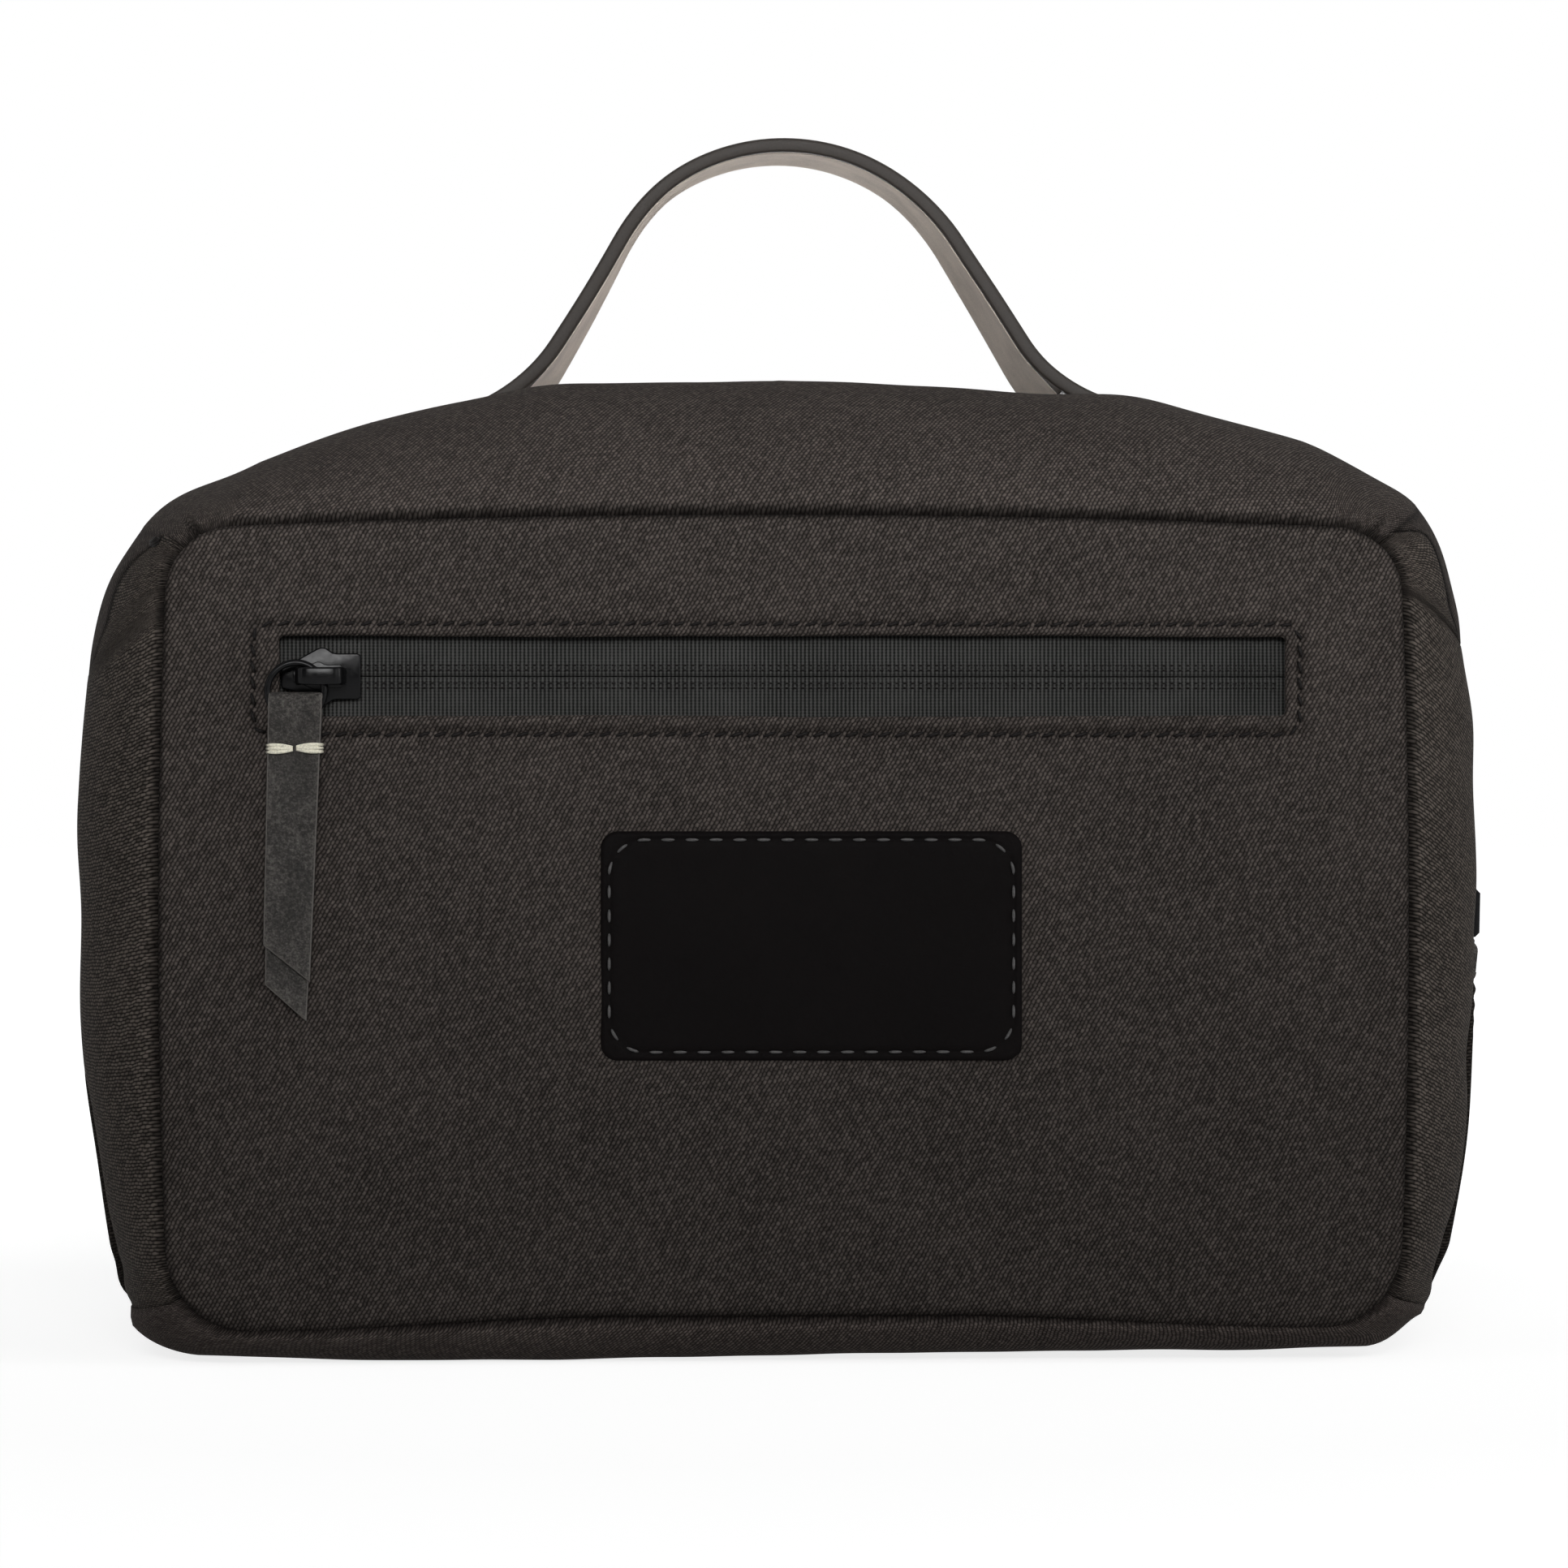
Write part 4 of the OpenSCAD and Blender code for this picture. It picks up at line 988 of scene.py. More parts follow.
def make_base_lining(name):
    low, high = box_mm("base_lining")
    x, y = np.meshgrid(*(np.linspace(low[k], high[k], n) for k, n in ((0, 90), (1, 40))),
                       indexing="ij")
    points = np.stack([x, y, np.full(x.shape, high[2] - 0.1)], -1)
    points[..., 2] += 0.25 * ripple(points, 30, 61)
    return thicken(grid_object(name, points, np.stack([x, y], -1)), 0.6)


# ------------------------------------------------------------------ main zip

# (distance from the zip's middle, depth under its face): half of each tape, whose edge is
# rolled over its coil, and one turn of the main coil
TAPE_PROFILE = ((0.12, 0.9), (0.10, 0.35), (0.35, 0.02), (1.2, -0.12), (2.2, -0.02), (2.9, 0.3),
                (3.6, 0.42), (5.5, 0.42), (EDGE_Y + HEM_W - SEAM_GAP, 0.42))
POCKET_PROFILE = ((0.08, 0.62), (0.06, 0.25), (0.28, -0.02), (0.9, -0.16), (1.8, -0.12),
                  (2.6, 0.02), (3.2, 0.10), (4.6, 0.10), (6.4, 0.05), (8.2, 0.10), (11.4, 0.2))
COIL_TURN = ((2.5, 0.0), (1.6, 0.02), (0.55, 0.1), (-0.15, 0.42), (0.5, 0.75), (1.6, 0.85),
             (2.5, 0.85))


def tape_point(side, s, y, drop):
    """Place on one main tape. The zip keeps midway between the two hems and each tape
    follows its own hem."""
    middle = 0.5 * (hem_draw(FRONT, s) + hem_draw(REAR, s))
    drawn = middle + (hem_draw(side, s) - middle) * float(smooth(y, 2.5, 8.0))
    return at_y(ridge_point(s, TAPE_INSET + drop + drawn), side * y)


def make_main_tape(side, name):
    s = even_steps(-ZIP_S, ZIP_S, 2.0)
    points = np.stack([tape_point(side, s, y, drop) for y, drop in TAPE_PROFILE], 1)
    return thicken(grid_object(name, points, grid_uv(points), flip=side == FRONT), 0.35)


def make_main_coil(side, name):
    s = even_steps(-ZIP_S + 0.01, ZIP_S - 0.01, 1.4)
    near = tape_point(side, s, 0, 1.0)
    inward = at_y(RIDGE.point(s, 1.0) - RIDGE.point(s), 0.0)
    share = 0.75 if side == FRONT else 0.25
    starts = near[:-1] * share + near[1:] * (1 - share)
    paths = [[start + way * deep + (0, side * y, 0) for y, deep in COIL_TURN]
             for start, way in zip(starts, inward)]
    return tubes_object(name, paths, 0.27, 6)


def make_tape_sewing(side, name):
    s = even_steps(-ZIP_S, ZIP_S, 2.0)
    line, above = (tape_point(side, s, 2.2, -0.02 - lift) for lift in (0.0, 1.0))
    return stitches(name, line, above - line, 1.4, 0.95, 0.1, 0.08, 0.14, 5)


# ------------------------------------------------------------------ pocket zip

def make_pocket_tape(name, up):
    """Half of the pocket's zip tape: ribbed, with its edge rolled over the hidden coil"""
    x = np.linspace(WINDOW_LEFT - TAPE_RUN, WINDOW_RIGHT + TAPE_RUN, 420)
    rows = []
    for z, drop in POCKET_PROFILE:
        wobble = 0.05 * np.sin(x * 0.9 + z) if z > 3 else 0
        rows.append(np.stack([x, -TAPE_Y + drop + wobble + 0 * x, POCKET_Z + up * z + 0 * x], -1))
    points = np.stack(rows, 1)
    uv = np.stack([points[..., 0], np.abs(points[..., 2] - POCKET_Z)], -1)
    return thicken(grid_object(name, points, uv, flip=up > 0), 0.3)


def make_pocket_sewing(name, up, z, drop, r):
    line = [(x, -TAPE_Y + drop, POCKET_Z + up * z) for x in (WINDOW_LEFT + 1.0, WINDOW_RIGHT - 1.0)]
    return stitches(name, line, (0, -1, 0), 1.4, 0.8, 0.08, 0.1, r, 5)


# ------------------------------------------------------------------ sliders, rings and pulls

SLIDER_L, SLIDER_W = 14.0, 10.3
SLIDER_HALF = ((-0.5, 0.34), (-0.48, 0.42), (-0.33, 0.52), (-0.06, 0.93), (0.0, 1.0), (0.06, 0.98),
               (0.15, 0.81), (0.2, 0.79), (0.46, 0.79), (0.5, 0.73))
BAIL_T, BAIL_W, BAIL_L = 1.1, 3.1, 9.0


def bevelled_plate(name, outline, y0, y1, width):
    """Flat plate in X and Z with rounded edges"""
    def action(work):
        face = work.faces.new([work.verts.new((x * MM, y0 * MM, z * MM)) for x, z in outline])
        out = bmesh.ops.extrude_face_region(work, geom=[face])
        moved = [v for v in out["geom"] if isinstance(v, bmesh.types.BMVert)]
        bmesh.ops.translate(work, verts=moved, vec=(0, (y1 - y0) * MM, 0))
        bmesh.ops.recalc_face_normals(work, faces=work.faces)
    return bevel(edit_mesh(add_object(name, bpy.data.meshes.new(name)), action), width, 3, 25)


def bail_object(name, top, base):
    """Arched bridge of a slider, swept along X with rounded shoulders"""
    path = []
    for a in np.linspace(0, math.pi, 25):
        x = -math.copysign(abs(math.cos(a)) ** 0.45, math.cos(a)) * (BAIL_L - BAIL_T) / 2
        path.append((x, -base - (top - BAIL_T / 2 - base) * abs(math.sin(a)) ** 0.4))
    path = np.array(path)
    tangent = unit(np.gradient(path, axis=0))
    section = rounded_section(BAIL_T / 2, BAIL_W / 2, 0.38, first=0)
    verts = [(x - ty * w, y + tx * w, z)
             for (x, y), (tx, ty) in zip(path, tangent) for w, z in section]
    return new_object(name, verts, grid_faces(len(path), len(section), tube=True, flip=True))


def make_slider(name, ring_out):
    """Slider in its own frame: nose at -X, outwards -Y, with plates, rims, post and bail"""
    half = [(x * SLIDER_L, z * SLIDER_W / 2) for x, z in SLIDER_HALF]
    outline = half + [(x, -z) for x, z in reversed(half)]
    crest = [(x * 0.62 - 0.6, z * 0.5) for x, z in outline]
    post = [(-6.2, -0.3), (-3.8, -0.3), (-3.8, 0.3), (-6.2, 0.3)]
    rim = [(-2.6, 3.05), (6.3, 3.05), (6.3, 3.9), (-1.9, 3.9)]
    plates = [(outline, -0.3, -1.4, 0.35), (crest, -1.3, -1.75, 0.3), (outline, 2.1, 3.2, 0.35),
              (post, -0.9, 2.6, 0.05), ([(x, -z) for x, z in reversed(rim)], 0.95, 2.7, 0.1),
              (rim, 0.95, 2.7, 0.1)]
    pieces = [bevelled_plate(f"{name}_plate", *plate) for plate in plates]
    bail_top = ring_out + WIRE_D / 2 + SEAM_GAP + BAIL_T
    return join(name, [*pieces, bail_object(name + "_bail", bail_top, 0.9)])


def make_ring(name):
    a = np.linspace(0, 2 * math.pi, 97)[:-1]
    path = np.stack([RING_R * np.cos(a), 0 * a, RING_R * np.sin(a)], -1)
    return new_object(name, *tube(path, WIRE_D / 2, 16, closed=True))


PULL_TOP, PULL_L, LEAF_STEP, LEAF_SLANT, PULL_T, PULL_SWEEP = -0.18, 58.0, 7.0, 6.5, 1.0, -1.8
FOLD_R = 1.3


def make_pull(name):
    """Folded leather pull below a ring whose centre is the origin: a front leaf and a
    longer back leaf, pinched together below the ring and both cut on a slant"""
    chord = PULL_TOP - FOLD_R - PULL_T / 2
    neck = -RING_R - WIRE_D - 3.2
    tip = PULL_TOP - PULL_L

    def leaf(end, y0):
        zs = np.linspace(chord, end, 46)
        close = smooth(-zs[:-1], -chord, -neck)
        return [(y0 * (1 - c) * FOLD_R + y0 * c * 0.56 + 0.16 * math.sin(z * 0.16) * c, z)
                for z, c in zip(zs[1:], close)]

    fold = [(-FOLD_R * math.cos(a), chord + FOLD_R * math.sin(a))
            for a in np.radians(range(0, 181, 15))]
    front, back = leaf(tip + LEAF_STEP, -1)[::-1], leaf(tip, 1)
    path = np.array(front + fold + back)
    ends = [tip + LEAF_STEP] * len(front) + [None] * len(fold) + [tip] * len(back)
    tangent = unit(np.gradient(path, axis=0))
    across = np.linspace(-1, 1, 11)
    section = [(q, PULL_T / 2) for q in across] + [(q, -PULL_T / 2) for q in across[::-1]]
    verts = []
    for i, ((py, pz), (ty, tz), end) in enumerate(zip(path, tangent, ends)):
        depth = min(1.0, max(0.0, (PULL_TOP - pz) / PULL_L))
        half = 4.75 - 0.75 * depth - (0.35 * depth if i >= len(front + fold) else 0)
        for q, w in section:
            w = w * (1 - 0.25 * max(0.0, abs(q) - 0.9) / 0.1)
            z = pz - ty * w
            if end is not None:
                z += (z - chord) / (end - chord) * (0.5 - 0.5 * q) * LEAF_SLANT
            verts.append((q * half + PULL_SWEEP * depth, py + tz * w, z))
    obj = recalculate(new_object(name, verts, grid_faces(len(path), len(section), tube=True)))
    for material in (pull_leather, painted_rim_highlight):
        obj.data.materials.append(material)
    # The bevelled rims take the second material, a painted highlight
    return bevel(obj, 0.22, 2, 50, material=1)


def pull_stitches(name):
    """Two thick cream stitches side by side, each of three strands that draw in at the
    middle hole and turn round the leather's edge"""
    f = np.linspace(0, 1, 15)
    fan = 0.62 * (0.35 + 0.65 * np.sin(math.pi / 2 * np.minimum(f * 1.25, 1)))
    arch = -1.30 - 0.34 * np.sin(math.pi * np.clip(f, 0.02, 0.9) ** 0.8)
    arch = arch + 1.15 * smooth(f, 0.86, 1.0)
    radius = 0.40 * (0.5 + 0.5 * np.sin(math.pi * np.clip(0.12 + 0.8 * f, 0, 1)))
    paths = [np.stack([side * (0.35 + 4.55 * f) - 0.15, arch - 0.05 * (strand == 0),
                       -10.1 + strand * fan + 0.05 * side], -1)
             for side in (-1, 1) for strand in (-1, 0, 1)]
    return tubes_object(name, paths, lambda n: radius, 10)


# ------------------------------------------------------------------ patch

def patch_loop(s, inset, corner):
    (left, _, low), (right, _, top) = PATCH_LOW + inset, PATCH_HIGH - inset
    return window_loop(s, left, right, low, top, corner)


PATCH_SEWING = patch_loop(DENSE, 1.5, 6.3)


def make_patch(name):
    middle = (PATCH_LOW[2] + PATCH_HIGH[2]) / 2
    s = panel_loop()
    inner = window_loop(s, PATCH_LOW[0] + 20, PATCH_HIGH[0] - 20, middle, middle + 0.02, 0.005)
    f = np.concatenate([np.linspace(0, 0.9, 22), np.linspace(0.9, 1, 14)[1:]])
    xz = between(inner, patch_loop(s, 0, 3.0), f)
    edge, sewn = distance_to(xz, patch_loop(DENSE, 0, 3.0)), distance_to(xz, PATCH_SEWING)
    lift = PATCH_HIGH[1] - PATCH_LOW[1] - 0.35 * bump(edge, 0, 0.35) - 0.22 * bump(sewn, 0, 0.5)
    lift = lift + 0.10 * ripple(at_y(xz, 0.0), 14, 70)
    points = at_y(xz, -HALF_D - lift + 0.25)
    points = np.concatenate([points, points[:, -1:]], 1)
    points[:, -1, 1] = -HALF_D + 0.8
    return weld(grid_object(name, points, wrap=True, flip=True), 0.03, close_all=True)


# ------------------------------------------------------------------ handle

STRAP_W, STRAP_T, SUEDE_T = 24.0, 1.6, 1.3
STRAP_Y = sum(v[1] for v in box_mm("handle_strap")) / 2
BOW_R, LEG_SLOPE, FOOT_R, FOOT_L, FOOT_LIFT = 36.8, math.radians(60), 24.0, 13.0, 3.35
STRAP_TURN = math.radians(1.6)
STRAP_DEPTH, STRAP_EDGE_R = STRAP_T + SUEDE_T - 0.25, 0.55


def crown_z(x, outline=RIDGE):
    return outline.centres[0][1] + np.sqrt(outline.radii[0] ** 2 - np.square(x))


def top_drop(x, y):
    """Drop of the rear shell's top below its ridge"""
    far = np.maximum(0, y - (HALF_D - SIDE_RUN)) / SIDE_RUN
    t = np.arccos(np.clip(math.cos(math.radians(SEAM_TURN)) * far, -1, 1))
    return (crown_z(x) - crown_z(x, PANEL)) * (1 - rise(t))


def strap_frame():
    """Middle line of the strap's outer face, as rows of [x, z, slope], and its feet's start"""
    top = box_mm("handle_strap")[1][2]
    sin_leg, cos_leg = math.sin(LEG_SLOPE), math.cos(LEG_SLOPE)
    leg_top = top - BOW_R * (1 - cos_leg)
    start = BOW_R
    for _ in range(12):
        slope = math.asin(start / CROWN_R)
        fall = leg_top - crown_z(start) - FOOT_LIFT - FOOT_R * (math.cos(slope) - cos_leg)
        start = BOW_R * sin_leg + fall / sin_leg * cos_leg + FOOT_R * (sin_leg - math.sin(slope))
    slope = math.asin(start / CROWN_R)
    line = [(BOW_R * math.sin(a), top - BOW_R * (1 - math.cos(a)), a)
            for a in np.linspace(0, LEG_SLOPE, 27)]
    foot = [(start - FOOT_R * (math.sin(a) - math.sin(slope)),
             crown_z(start) + FOOT_LIFT + FOOT_R * (math.cos(slope) - math.cos(a)), a)
            for a in np.linspace(LEG_SLOPE, slope, 17)]
    (x0, z0), (x1, z1) = line[-1][:2], foot[0][:2]
    span = [(x0 * (1 - f) + x1 * f, z0 * (1 - f) + z1 * f, LEG_SLOPE)
            for f in np.linspace(0, 1, 9)[1:-1]]
    tail = [(x, crown_z(x) + FOOT_LIFT, math.asin(x / CROWN_R))
            for x in start + FOOT_L * math.cos(slope) * np.linspace(0, 1, 11)[1:]]
    half = line + span + foot + tail
    return np.array([(-x, z, -a) for x, z, a in reversed(half[1:])] + half), start


STRAP_LINE, FOOT_START = strap_frame()


def strap_point(x, z, a, w, depth, half_w):
    """Place on the strap: w across it and depth below its outer face. The rear shell's top
    hangs a little under the ridge and the feet settle on it; the strap is turned a touch."""
    settle = float(smooth(min(1.0, abs(x) / FOOT_START), 0.35, 1))
    spread = float(smooth(abs(x), 18, 52))
    cup = 0.30 * (w / half_w) ** 2 * (1 - settle)
    sunk = settle * (top_drop(x, STRAP_Y + w) + 1.6 + (1.2 if x < 0 else -1.2))
    sunk += 2.6 * float(smooth(x, FOOT_START + 2, FOOT_START + 11)) + 0.8 * float(smooth(x, 36, 46))
    px = (x - (depth + cup) * math.sin(a)) * (1.035 + 0.06 * spread) + 1.7 + 0.7 * spread
    px += 0.9 * float(bump(x, -37, 10))
    pz = z - (depth + cup) * math.cos(a) - sunk + 0.7 * (1 - spread)
    turn = STRAP_TURN * (1 - 0.5 * settle)
    return (px * math.cos(turn) - w * math.sin(turn),
            STRAP_Y + w * math.cos(turn) + px * math.sin(turn) * (1 - 2 * settle), pz)


def straight_legs(line):
    """The suede does not follow the feet outwards: its legs go straight on down into the bag"""
    kept = [tuple(row) for row in line if abs(row[0]) < 45 or abs(row[2]) > math.radians(54)]
    x, z, a = kept[-1]
    tail = [(x + 1.1 * k * math.cos(a), z - 1.1 * k * math.sin(a), a) for k in range(1, 7)]
    return np.array([(-x, z, -a) for x, z, a in reversed(tail)] + kept + tail)


def strap_section(depth0, depth1, half, round_r):
    """(w, depth) round the strap, with points added along its wide faces"""
    mid, half_thick = (depth0 + depth1) / 2, (depth1 - depth0) / 2
    section = [(w, mid + d) for w, d in rounded_section(half, half_thick, round_r, first=-90)]
    full = []
    for a, b in zip(section, section[1:] + section[:1]):
        steps = 10 if abs(a[0] - b[0]) > 5 else 1
        full += [(a[0] + (b[0] - a[0]) * k / steps, a[1] + (b[1] - a[1]) * k / steps)
                 for k in range(steps)]
    return full


def strap_mesh(name, line, depth0, depth1, inset, round_r, fan=0.0):
    """Strap along a line, whose outer side may fan out towards the foot"""
    half = STRAP_W / 2 - inset
    run = path_length(line[:, :2])
    top_x, top_z = line[np.argmax(line[:, 1])][:2]
    verts, uvs = [], []
    for (x, z, a), u in zip(line, run):
        outer = depth0 - fan * math.hypot(x - top_x, z - top_z) ** 2
        section = strap_section(outer, depth1, half, round_r)
        verts += [strap_point(x, z, a, w, d, half) for w, d in section]
        uvs += [(u, w) for w, d in section]
    faces = grid_faces(len(line), len(section), tube=True)
    return recalculate(new_object(name, verts, faces, uvs))


def paint_edges(obj, material):
    """The strap's long edges are burnished and painted"""
    obj.data.materials.append(material)
    half = STRAP_W / 2
    w = [v[0] for v in strap_section(0.0, STRAP_DEPTH, half, STRAP_EDGE_R)]
    m = len(w)
    for face in obj.data.polygons[:(len(STRAP_LINE) - 1) * m]:
        j = face.index % m
        if abs(w[j] + w[(j + 1) % m]) / 2 > half - 0.5:
            face.material_index = 1


def foot_stitches(name, side):
    """Box of stitches that sews one foot of the handle to the shell"""
    foot = [row for row in STRAP_LINE if side * row[0] > FOOT_START - 1.5][::side][:-1]
    edge = STRAP_W / 2 - 2.4
    over = np.linspace(-edge, edge, 8)
    box = [(row, -edge) for row in foot] + [(foot[-1], w) for w in over[1:]]
    box += [(row, edge) for row in foot[::-1][1:]] + [(foot[0], w) for w in over[::-1][1:]]
    path = [strap_point(*row, w, 0.02, STRAP_W / 2) for row, w in box]
    return stitches(name, path, (0.0, 0.25, 0.97), 3.3, 2.3, 0.3, 0.16, 0.25, 6)


# ------------------------------------------------------------------ build everything

BAND_CLOTH = {"left": side_cloth, "top": top_cloth, "right": side_cloth}
hinged = []
for part, piece in make_bands(FRONT, "front_band").items():
    body = "front_shell" if part == "top" else None
    finish_piece(piece, BAND_CLOTH[part], body, "canvas", f"front_gusset_{part}")
    if body is None:
        hinged.append(piece)
finish_piece(make_knot("corner_knot"), dark_thread, "front_shell", "canvas")
for part, piece in make_bands(REAR, "rear_band").items():
    finish_piece(piece, BAND_CLOTH[part], "rear_shell", "canvas", f"rear_gusset_{part}")
finish_piece(make_panel(FRONT, "front_face", window=True), panel_cloth, "front_shell", "canvas",
             "front_panel")
finish_piece(make_panel(REAR, "back_face", window=False), panel_cloth, "rear_shell", "canvas",
             "back_panel")
finish_piece(make_base("base_cloth"), base_twill, "rear_shell", "base_canvas", "base_panel")


def on_both_halves(make, suffix, material, slot, *node):
    """Makes one piece for each half. The front one gets no body and goes in the list of hinged
    pieces.
    """
    for side, half in ((FRONT, "front"), (REAR, "rear")):
        body = "rear_shell" if side == REAR else None
        piece = finish_piece(make(side, f"{half}_{suffix}"), material, body, slot,
                             *(f"{half}_{n}" for n in node))
        if body is None:
            hinged.append(piece)


on_both_halves(make_lining, "lining_cloth", lining_cloth, "lining", "lining")
finish_piece(make_base_lining("base_lining_cloth"), lining_cloth, "rear_shell", "lining",
             "base_lining")
finish_piece(make_pouch("pocket_pouch"), lining_cloth, "front_shell", "lining", "pocket_bag")
on_both_halves(make_main_tape, "tape_woven", tape_cloth, "zip_tape", "zip_tape")
on_both_halves(make_main_coil, "coil_teeth", coil_nylon, "zip_coil", "zip_coil")
on_both_halves(make_tape_sewing, "tape_sewing", dark_thread, "zip_tape")

for piece in hinged:
    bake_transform(piece)

for up, name in ((1, "upper"), (-1, "lower")):
    finish_piece(make_pocket_tape(f"pocket_{name}_woven", up), tape_cloth, "front_shell",
                 "zip_tape", f"pocket_tape_{name}")
    for k, (z, drop, r) in enumerate(((1.15, -0.2, 0.15), (2.0, -0.14, 0.17))):
        finish_piece(make_pocket_sewing(f"pocket_{name}_sewing_{k}", up, z, drop, r), dark_thread,
                     "front_shell", "zip_tape")
sewn_line = at_y(window_loop(DENSE, *STITCH_BOX, 3.0), -HALF_D + 0.12)
finish_piece(stitches("pocket_topstitch", sewn_line, (0, -1, 0), STITCH_PITCH, 2.1, 0.25, 0.30,
                      0.33, 6, lean=0.34), dark_thread, "front_shell", "canvas")
finish_piece(make_patch("patch_leather"), patch_leather, "front_shell", "patch_leather",
             "leather_patch")
sewn_line = at_y(PATCH_SEWING, -HALF_D - 0.62)
finish_piece(stitches("patch_stitches", sewn_line, (0, -1, 0), 4.2, 2.2, 0.2, 0.16, 0.27, 8),
             grey_thread, "front_shell", "patch_leather")

slider_mid, ring_mid = (sum(box_mm(node)) / 2 for node in ("pocket_slider", "pocket_pull_ring"))
slider_at = (slider_mid[0], -TAPE_Y, POCKET_Z)
for obj, at, material, body, slot, *nodes in (
        (make_slider("pocket_slider_body", -(ring_mid[1] + TAPE_Y)), slider_at, black_metal,
         "pocket_slider", "black_metal", "pocket_slider"),
        (make_ring("pocket_wire_ring"), ring_mid, black_metal,
         "pocket_ring", "black_metal", "pocket_pull_ring"),
        (make_pull("pocket_leather_pull"), ring_mid, pull_leather,
         "pocket_pull", "pull_leather", "pocket_pull"),
        (pull_stitches("pocket_pull_stitches"), ring_mid, cream_thread,
         "pocket_pull", "pull_leather")):
    obj.data.transform(Matrix.Translation(Vector(at) * MM))
    finish_piece(obj, material, body, slot, *nodes)

# Pieces that are shown as they stand in the CAD
FRAME_MATERIALS = {"main_slider": black_metal, "main_pull_ring": black_metal,
                   "main_pull": pull_leather, "zip_end_stops": black_metal,
                   "pocket_zip_stops": black_metal, "pocket_coil_upper": coil_nylon,
                   "pocket_coil_lower": coil_nylon, "base_board": stiff_board}
for node, material in FRAME_MATERIALS.items():
    for slot_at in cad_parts[node].material_slots:
        slot_at.material = material

SUEDE_LINE = straight_legs(STRAP_LINE)
strap = strap_mesh("handle_leather", STRAP_LINE, 0.0, STRAP_DEPTH, 0.0, STRAP_EDGE_R)
finish_piece(strap, strap_leather, "rear_shell", "strap_leather", "handle_strap")
paint_edges(strap, edge_paint)
finish_piece(strap_mesh("handle_suede", SUEDE_LINE, STRAP_T, STRAP_T + SUEDE_T - 0.1, 1.0, 0.1),
             pale_suede, "rear_shell", "suede", "handle_lining")
for name, leg in (("left", SUEDE_LINE[:7]), ("right", SUEDE_LINE[-7:])):
    fold = strap_mesh(f"handle_foot_fold_{name}", leg, 0.5, STRAP_T + SUEDE_T - 0.2, 0.35, 0.1,
                      fan=1 / 36)
    finish_piece(fold, edge_paint, "rear_shell", "strap_leather")
for side, name in ((-1, "left"), (1, "right")):
    finish_piece(foot_stitches(f"handle_stitches_{name}", side), dark_thread, "rear_shell",
                 "strap_leather")


# ------------------------------------------------------------------ stage, light and camera

# The floor's glow near the bag is lowered: painted shade round it
WORLD_LIGHT, FLOOR_TONE, GLOW_NEAR_SHADED, GLOW_FAR = 0.12, 0.55, 0.80, 1.0


def make_stage():
    """White floor that glows for the camera and in reflections, less near the bag: a painted soft
    shade round it
    """
    mesh = bpy.data.meshes.new("floor")
    mesh.from_pydata([(-6, -4, 0), (6, -4, 0), (6, 8, 0), (-6, 8, 0)], [], [(0, 1, 2, 3)])
    floor = add_object("floor", mesh)
    m = new_shader("floor_white")
    m.finish((FLOOR_TONE, FLOOR_TONE, FLOOR_TONE, 1), 0.95, 0.0)
    path = m.node("LightPath")
    away = m.node("VectorMath", [m.node("NewGeometry").outputs["Position"]], operation="LENGTH")
    # Painted shade: the glow is weaker near the bag, so the floor there is greyer where the lamps
    # don't reach
    bright = m.ramp(away.outputs["Value"], 0.2, 0.75, GLOW_NEAR_SHADED, GLOW_FAR)
    seen = m.math("MAXIMUM", path.outputs["Is Camera Ray"], path.outputs["Is Glossy Ray"])
    glow = m.node("Emission", {"Strength": m.times(seen, bright)})
    both = m.node("AddShader", [m.bsdf.outputs[0], glow.outputs[0]])
    m.feed(m.tree.nodes["Material Output"].inputs["Surface"], both.outputs[0])
    floor.data.materials.append(m.owner)


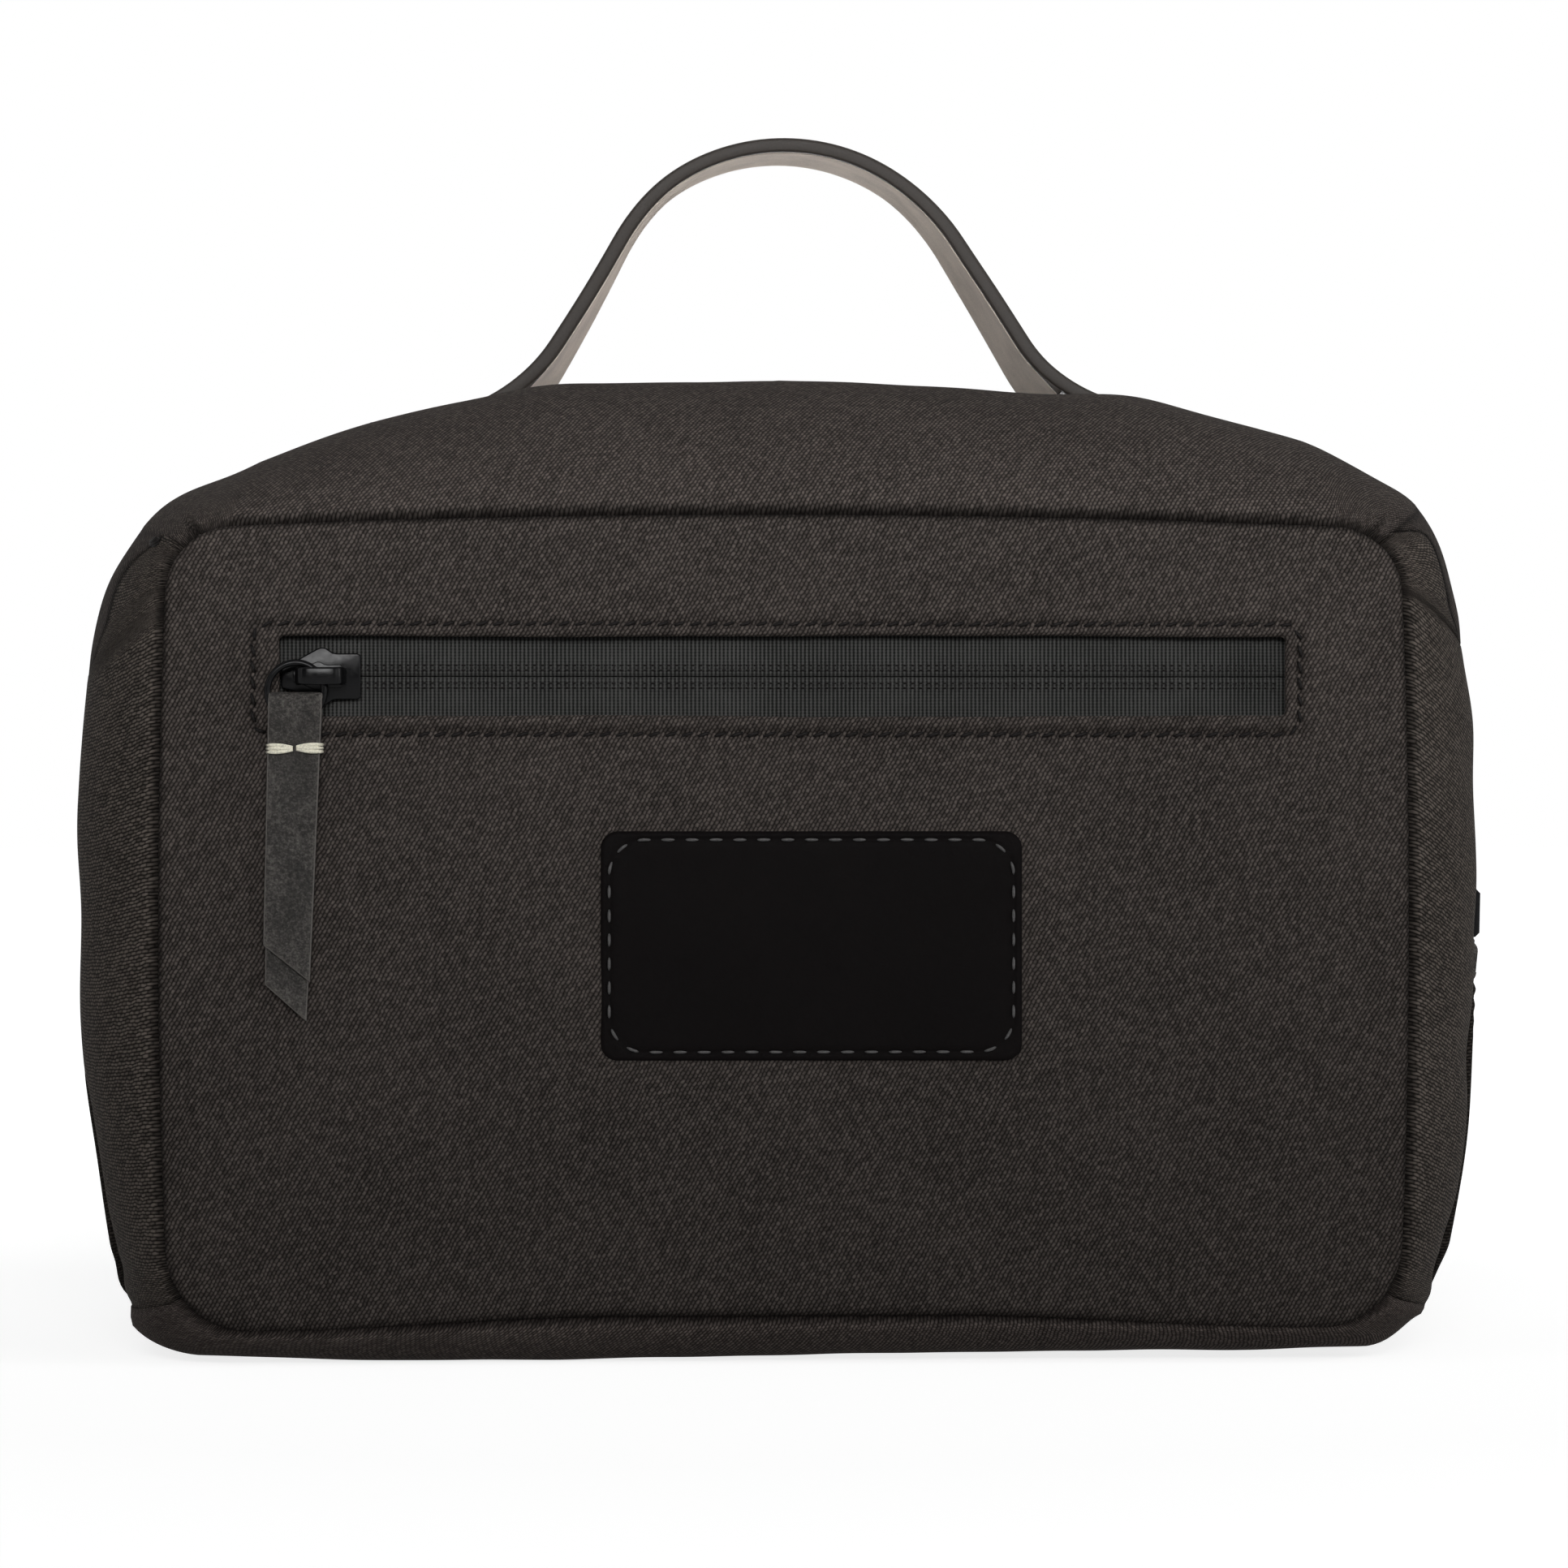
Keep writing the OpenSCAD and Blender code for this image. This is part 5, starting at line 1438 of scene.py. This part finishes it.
def make_world():
    """Soft even light. A camera sees plain white, and so do reflections, apart from the
    dark side of the studio behind the camera."""
    m = Shader(bpy.data.worlds.new("studio"))
    bpy.context.scene.world = m.owner
    m.tree.nodes.clear()
    path = m.node("LightPath").outputs
    split = m.node("SeparateXYZ", [m.node("TexCoord").outputs["Generated"]])
    studio = m.ramp(split.outputs[1], -0.75, 0.0, 0.06, 1.0, interpolation_type="SMOOTHSTEP")
    glossy = m.math("MAXIMUM", path["Is Glossy Ray"], path["Is Transmission Ray"])
    seen = m.math("MAXIMUM", glossy, path["Is Camera Ray"])
    shown = m.math("MAXIMUM", studio, path["Is Camera Ray"])
    lit, plain = (m.node("Background", [(1, 1, 1, 1), strength]).outputs[0]
                  for strength in (WORLD_LIGHT, shown))
    mix = m.node("MixShader", [seen, lit, plain])
    out = m.tree.nodes.new("ShaderNodeOutputWorld")
    m.feed(out.inputs[0], mix.outputs[0])


def area_light(name, at, aim, size, power, spread=180):
    data = bpy.data.lights.new(name, "AREA")
    data.shape = "RECTANGLE"
    data.size, data.size_y = size
    data.energy, data.spread = power, math.radians(spread)
    light = add_object(name, data)
    light.location = at
    light.visible_camera = False
    light.rotation_euler = (Vector(aim) - Vector(at)).to_track_quat("-Z", "Y").to_euler()


def make_camera():
    yaw, distance, height, aside = math.radians(1.8), 1.055, 0.103, 0.00136
    data = bpy.data.cameras.new("camera")
    data.lens, data.sensor_width, data.clip_end = 129.9, 36, 100
    camera = add_object("camera", data)
    aim = Vector((aside * math.cos(yaw), -aside * math.sin(yaw), height))
    camera.location = aim - distance * Vector((math.sin(yaw), math.cos(yaw), 0))
    camera.rotation_euler = (math.pi / 2, 0, -yaw)
    bpy.context.scene.camera = camera


make_stage()
make_world()
area_light("key", (0, -1.0, 0.5), (0, -0.05, 0.31), (1.4, 0.4), 2.4, spread=45)
area_light("fill", (1.0, -1.1, 0.5), (0.0, -0.05, 0.24), (0.8, 0.8), 0.36, spread=50)
area_light("left_strip", (-1.2, -0.7, 0.5), (-0.05, 0, 0.1), (0.25, 0.8), 1.2)
area_light("right_strip", (1.2, -0.5, 0.5), (0.05, 0, 0.1), (0.25, 0.8), 3.2)
area_light("rear", (0, 0.40, 0.02), (0, 0.03, 0.215), (0.6, 0.3), 0.9, spread=60)
make_camera()
bpy.context.scene.view_settings.view_transform = "Standard"
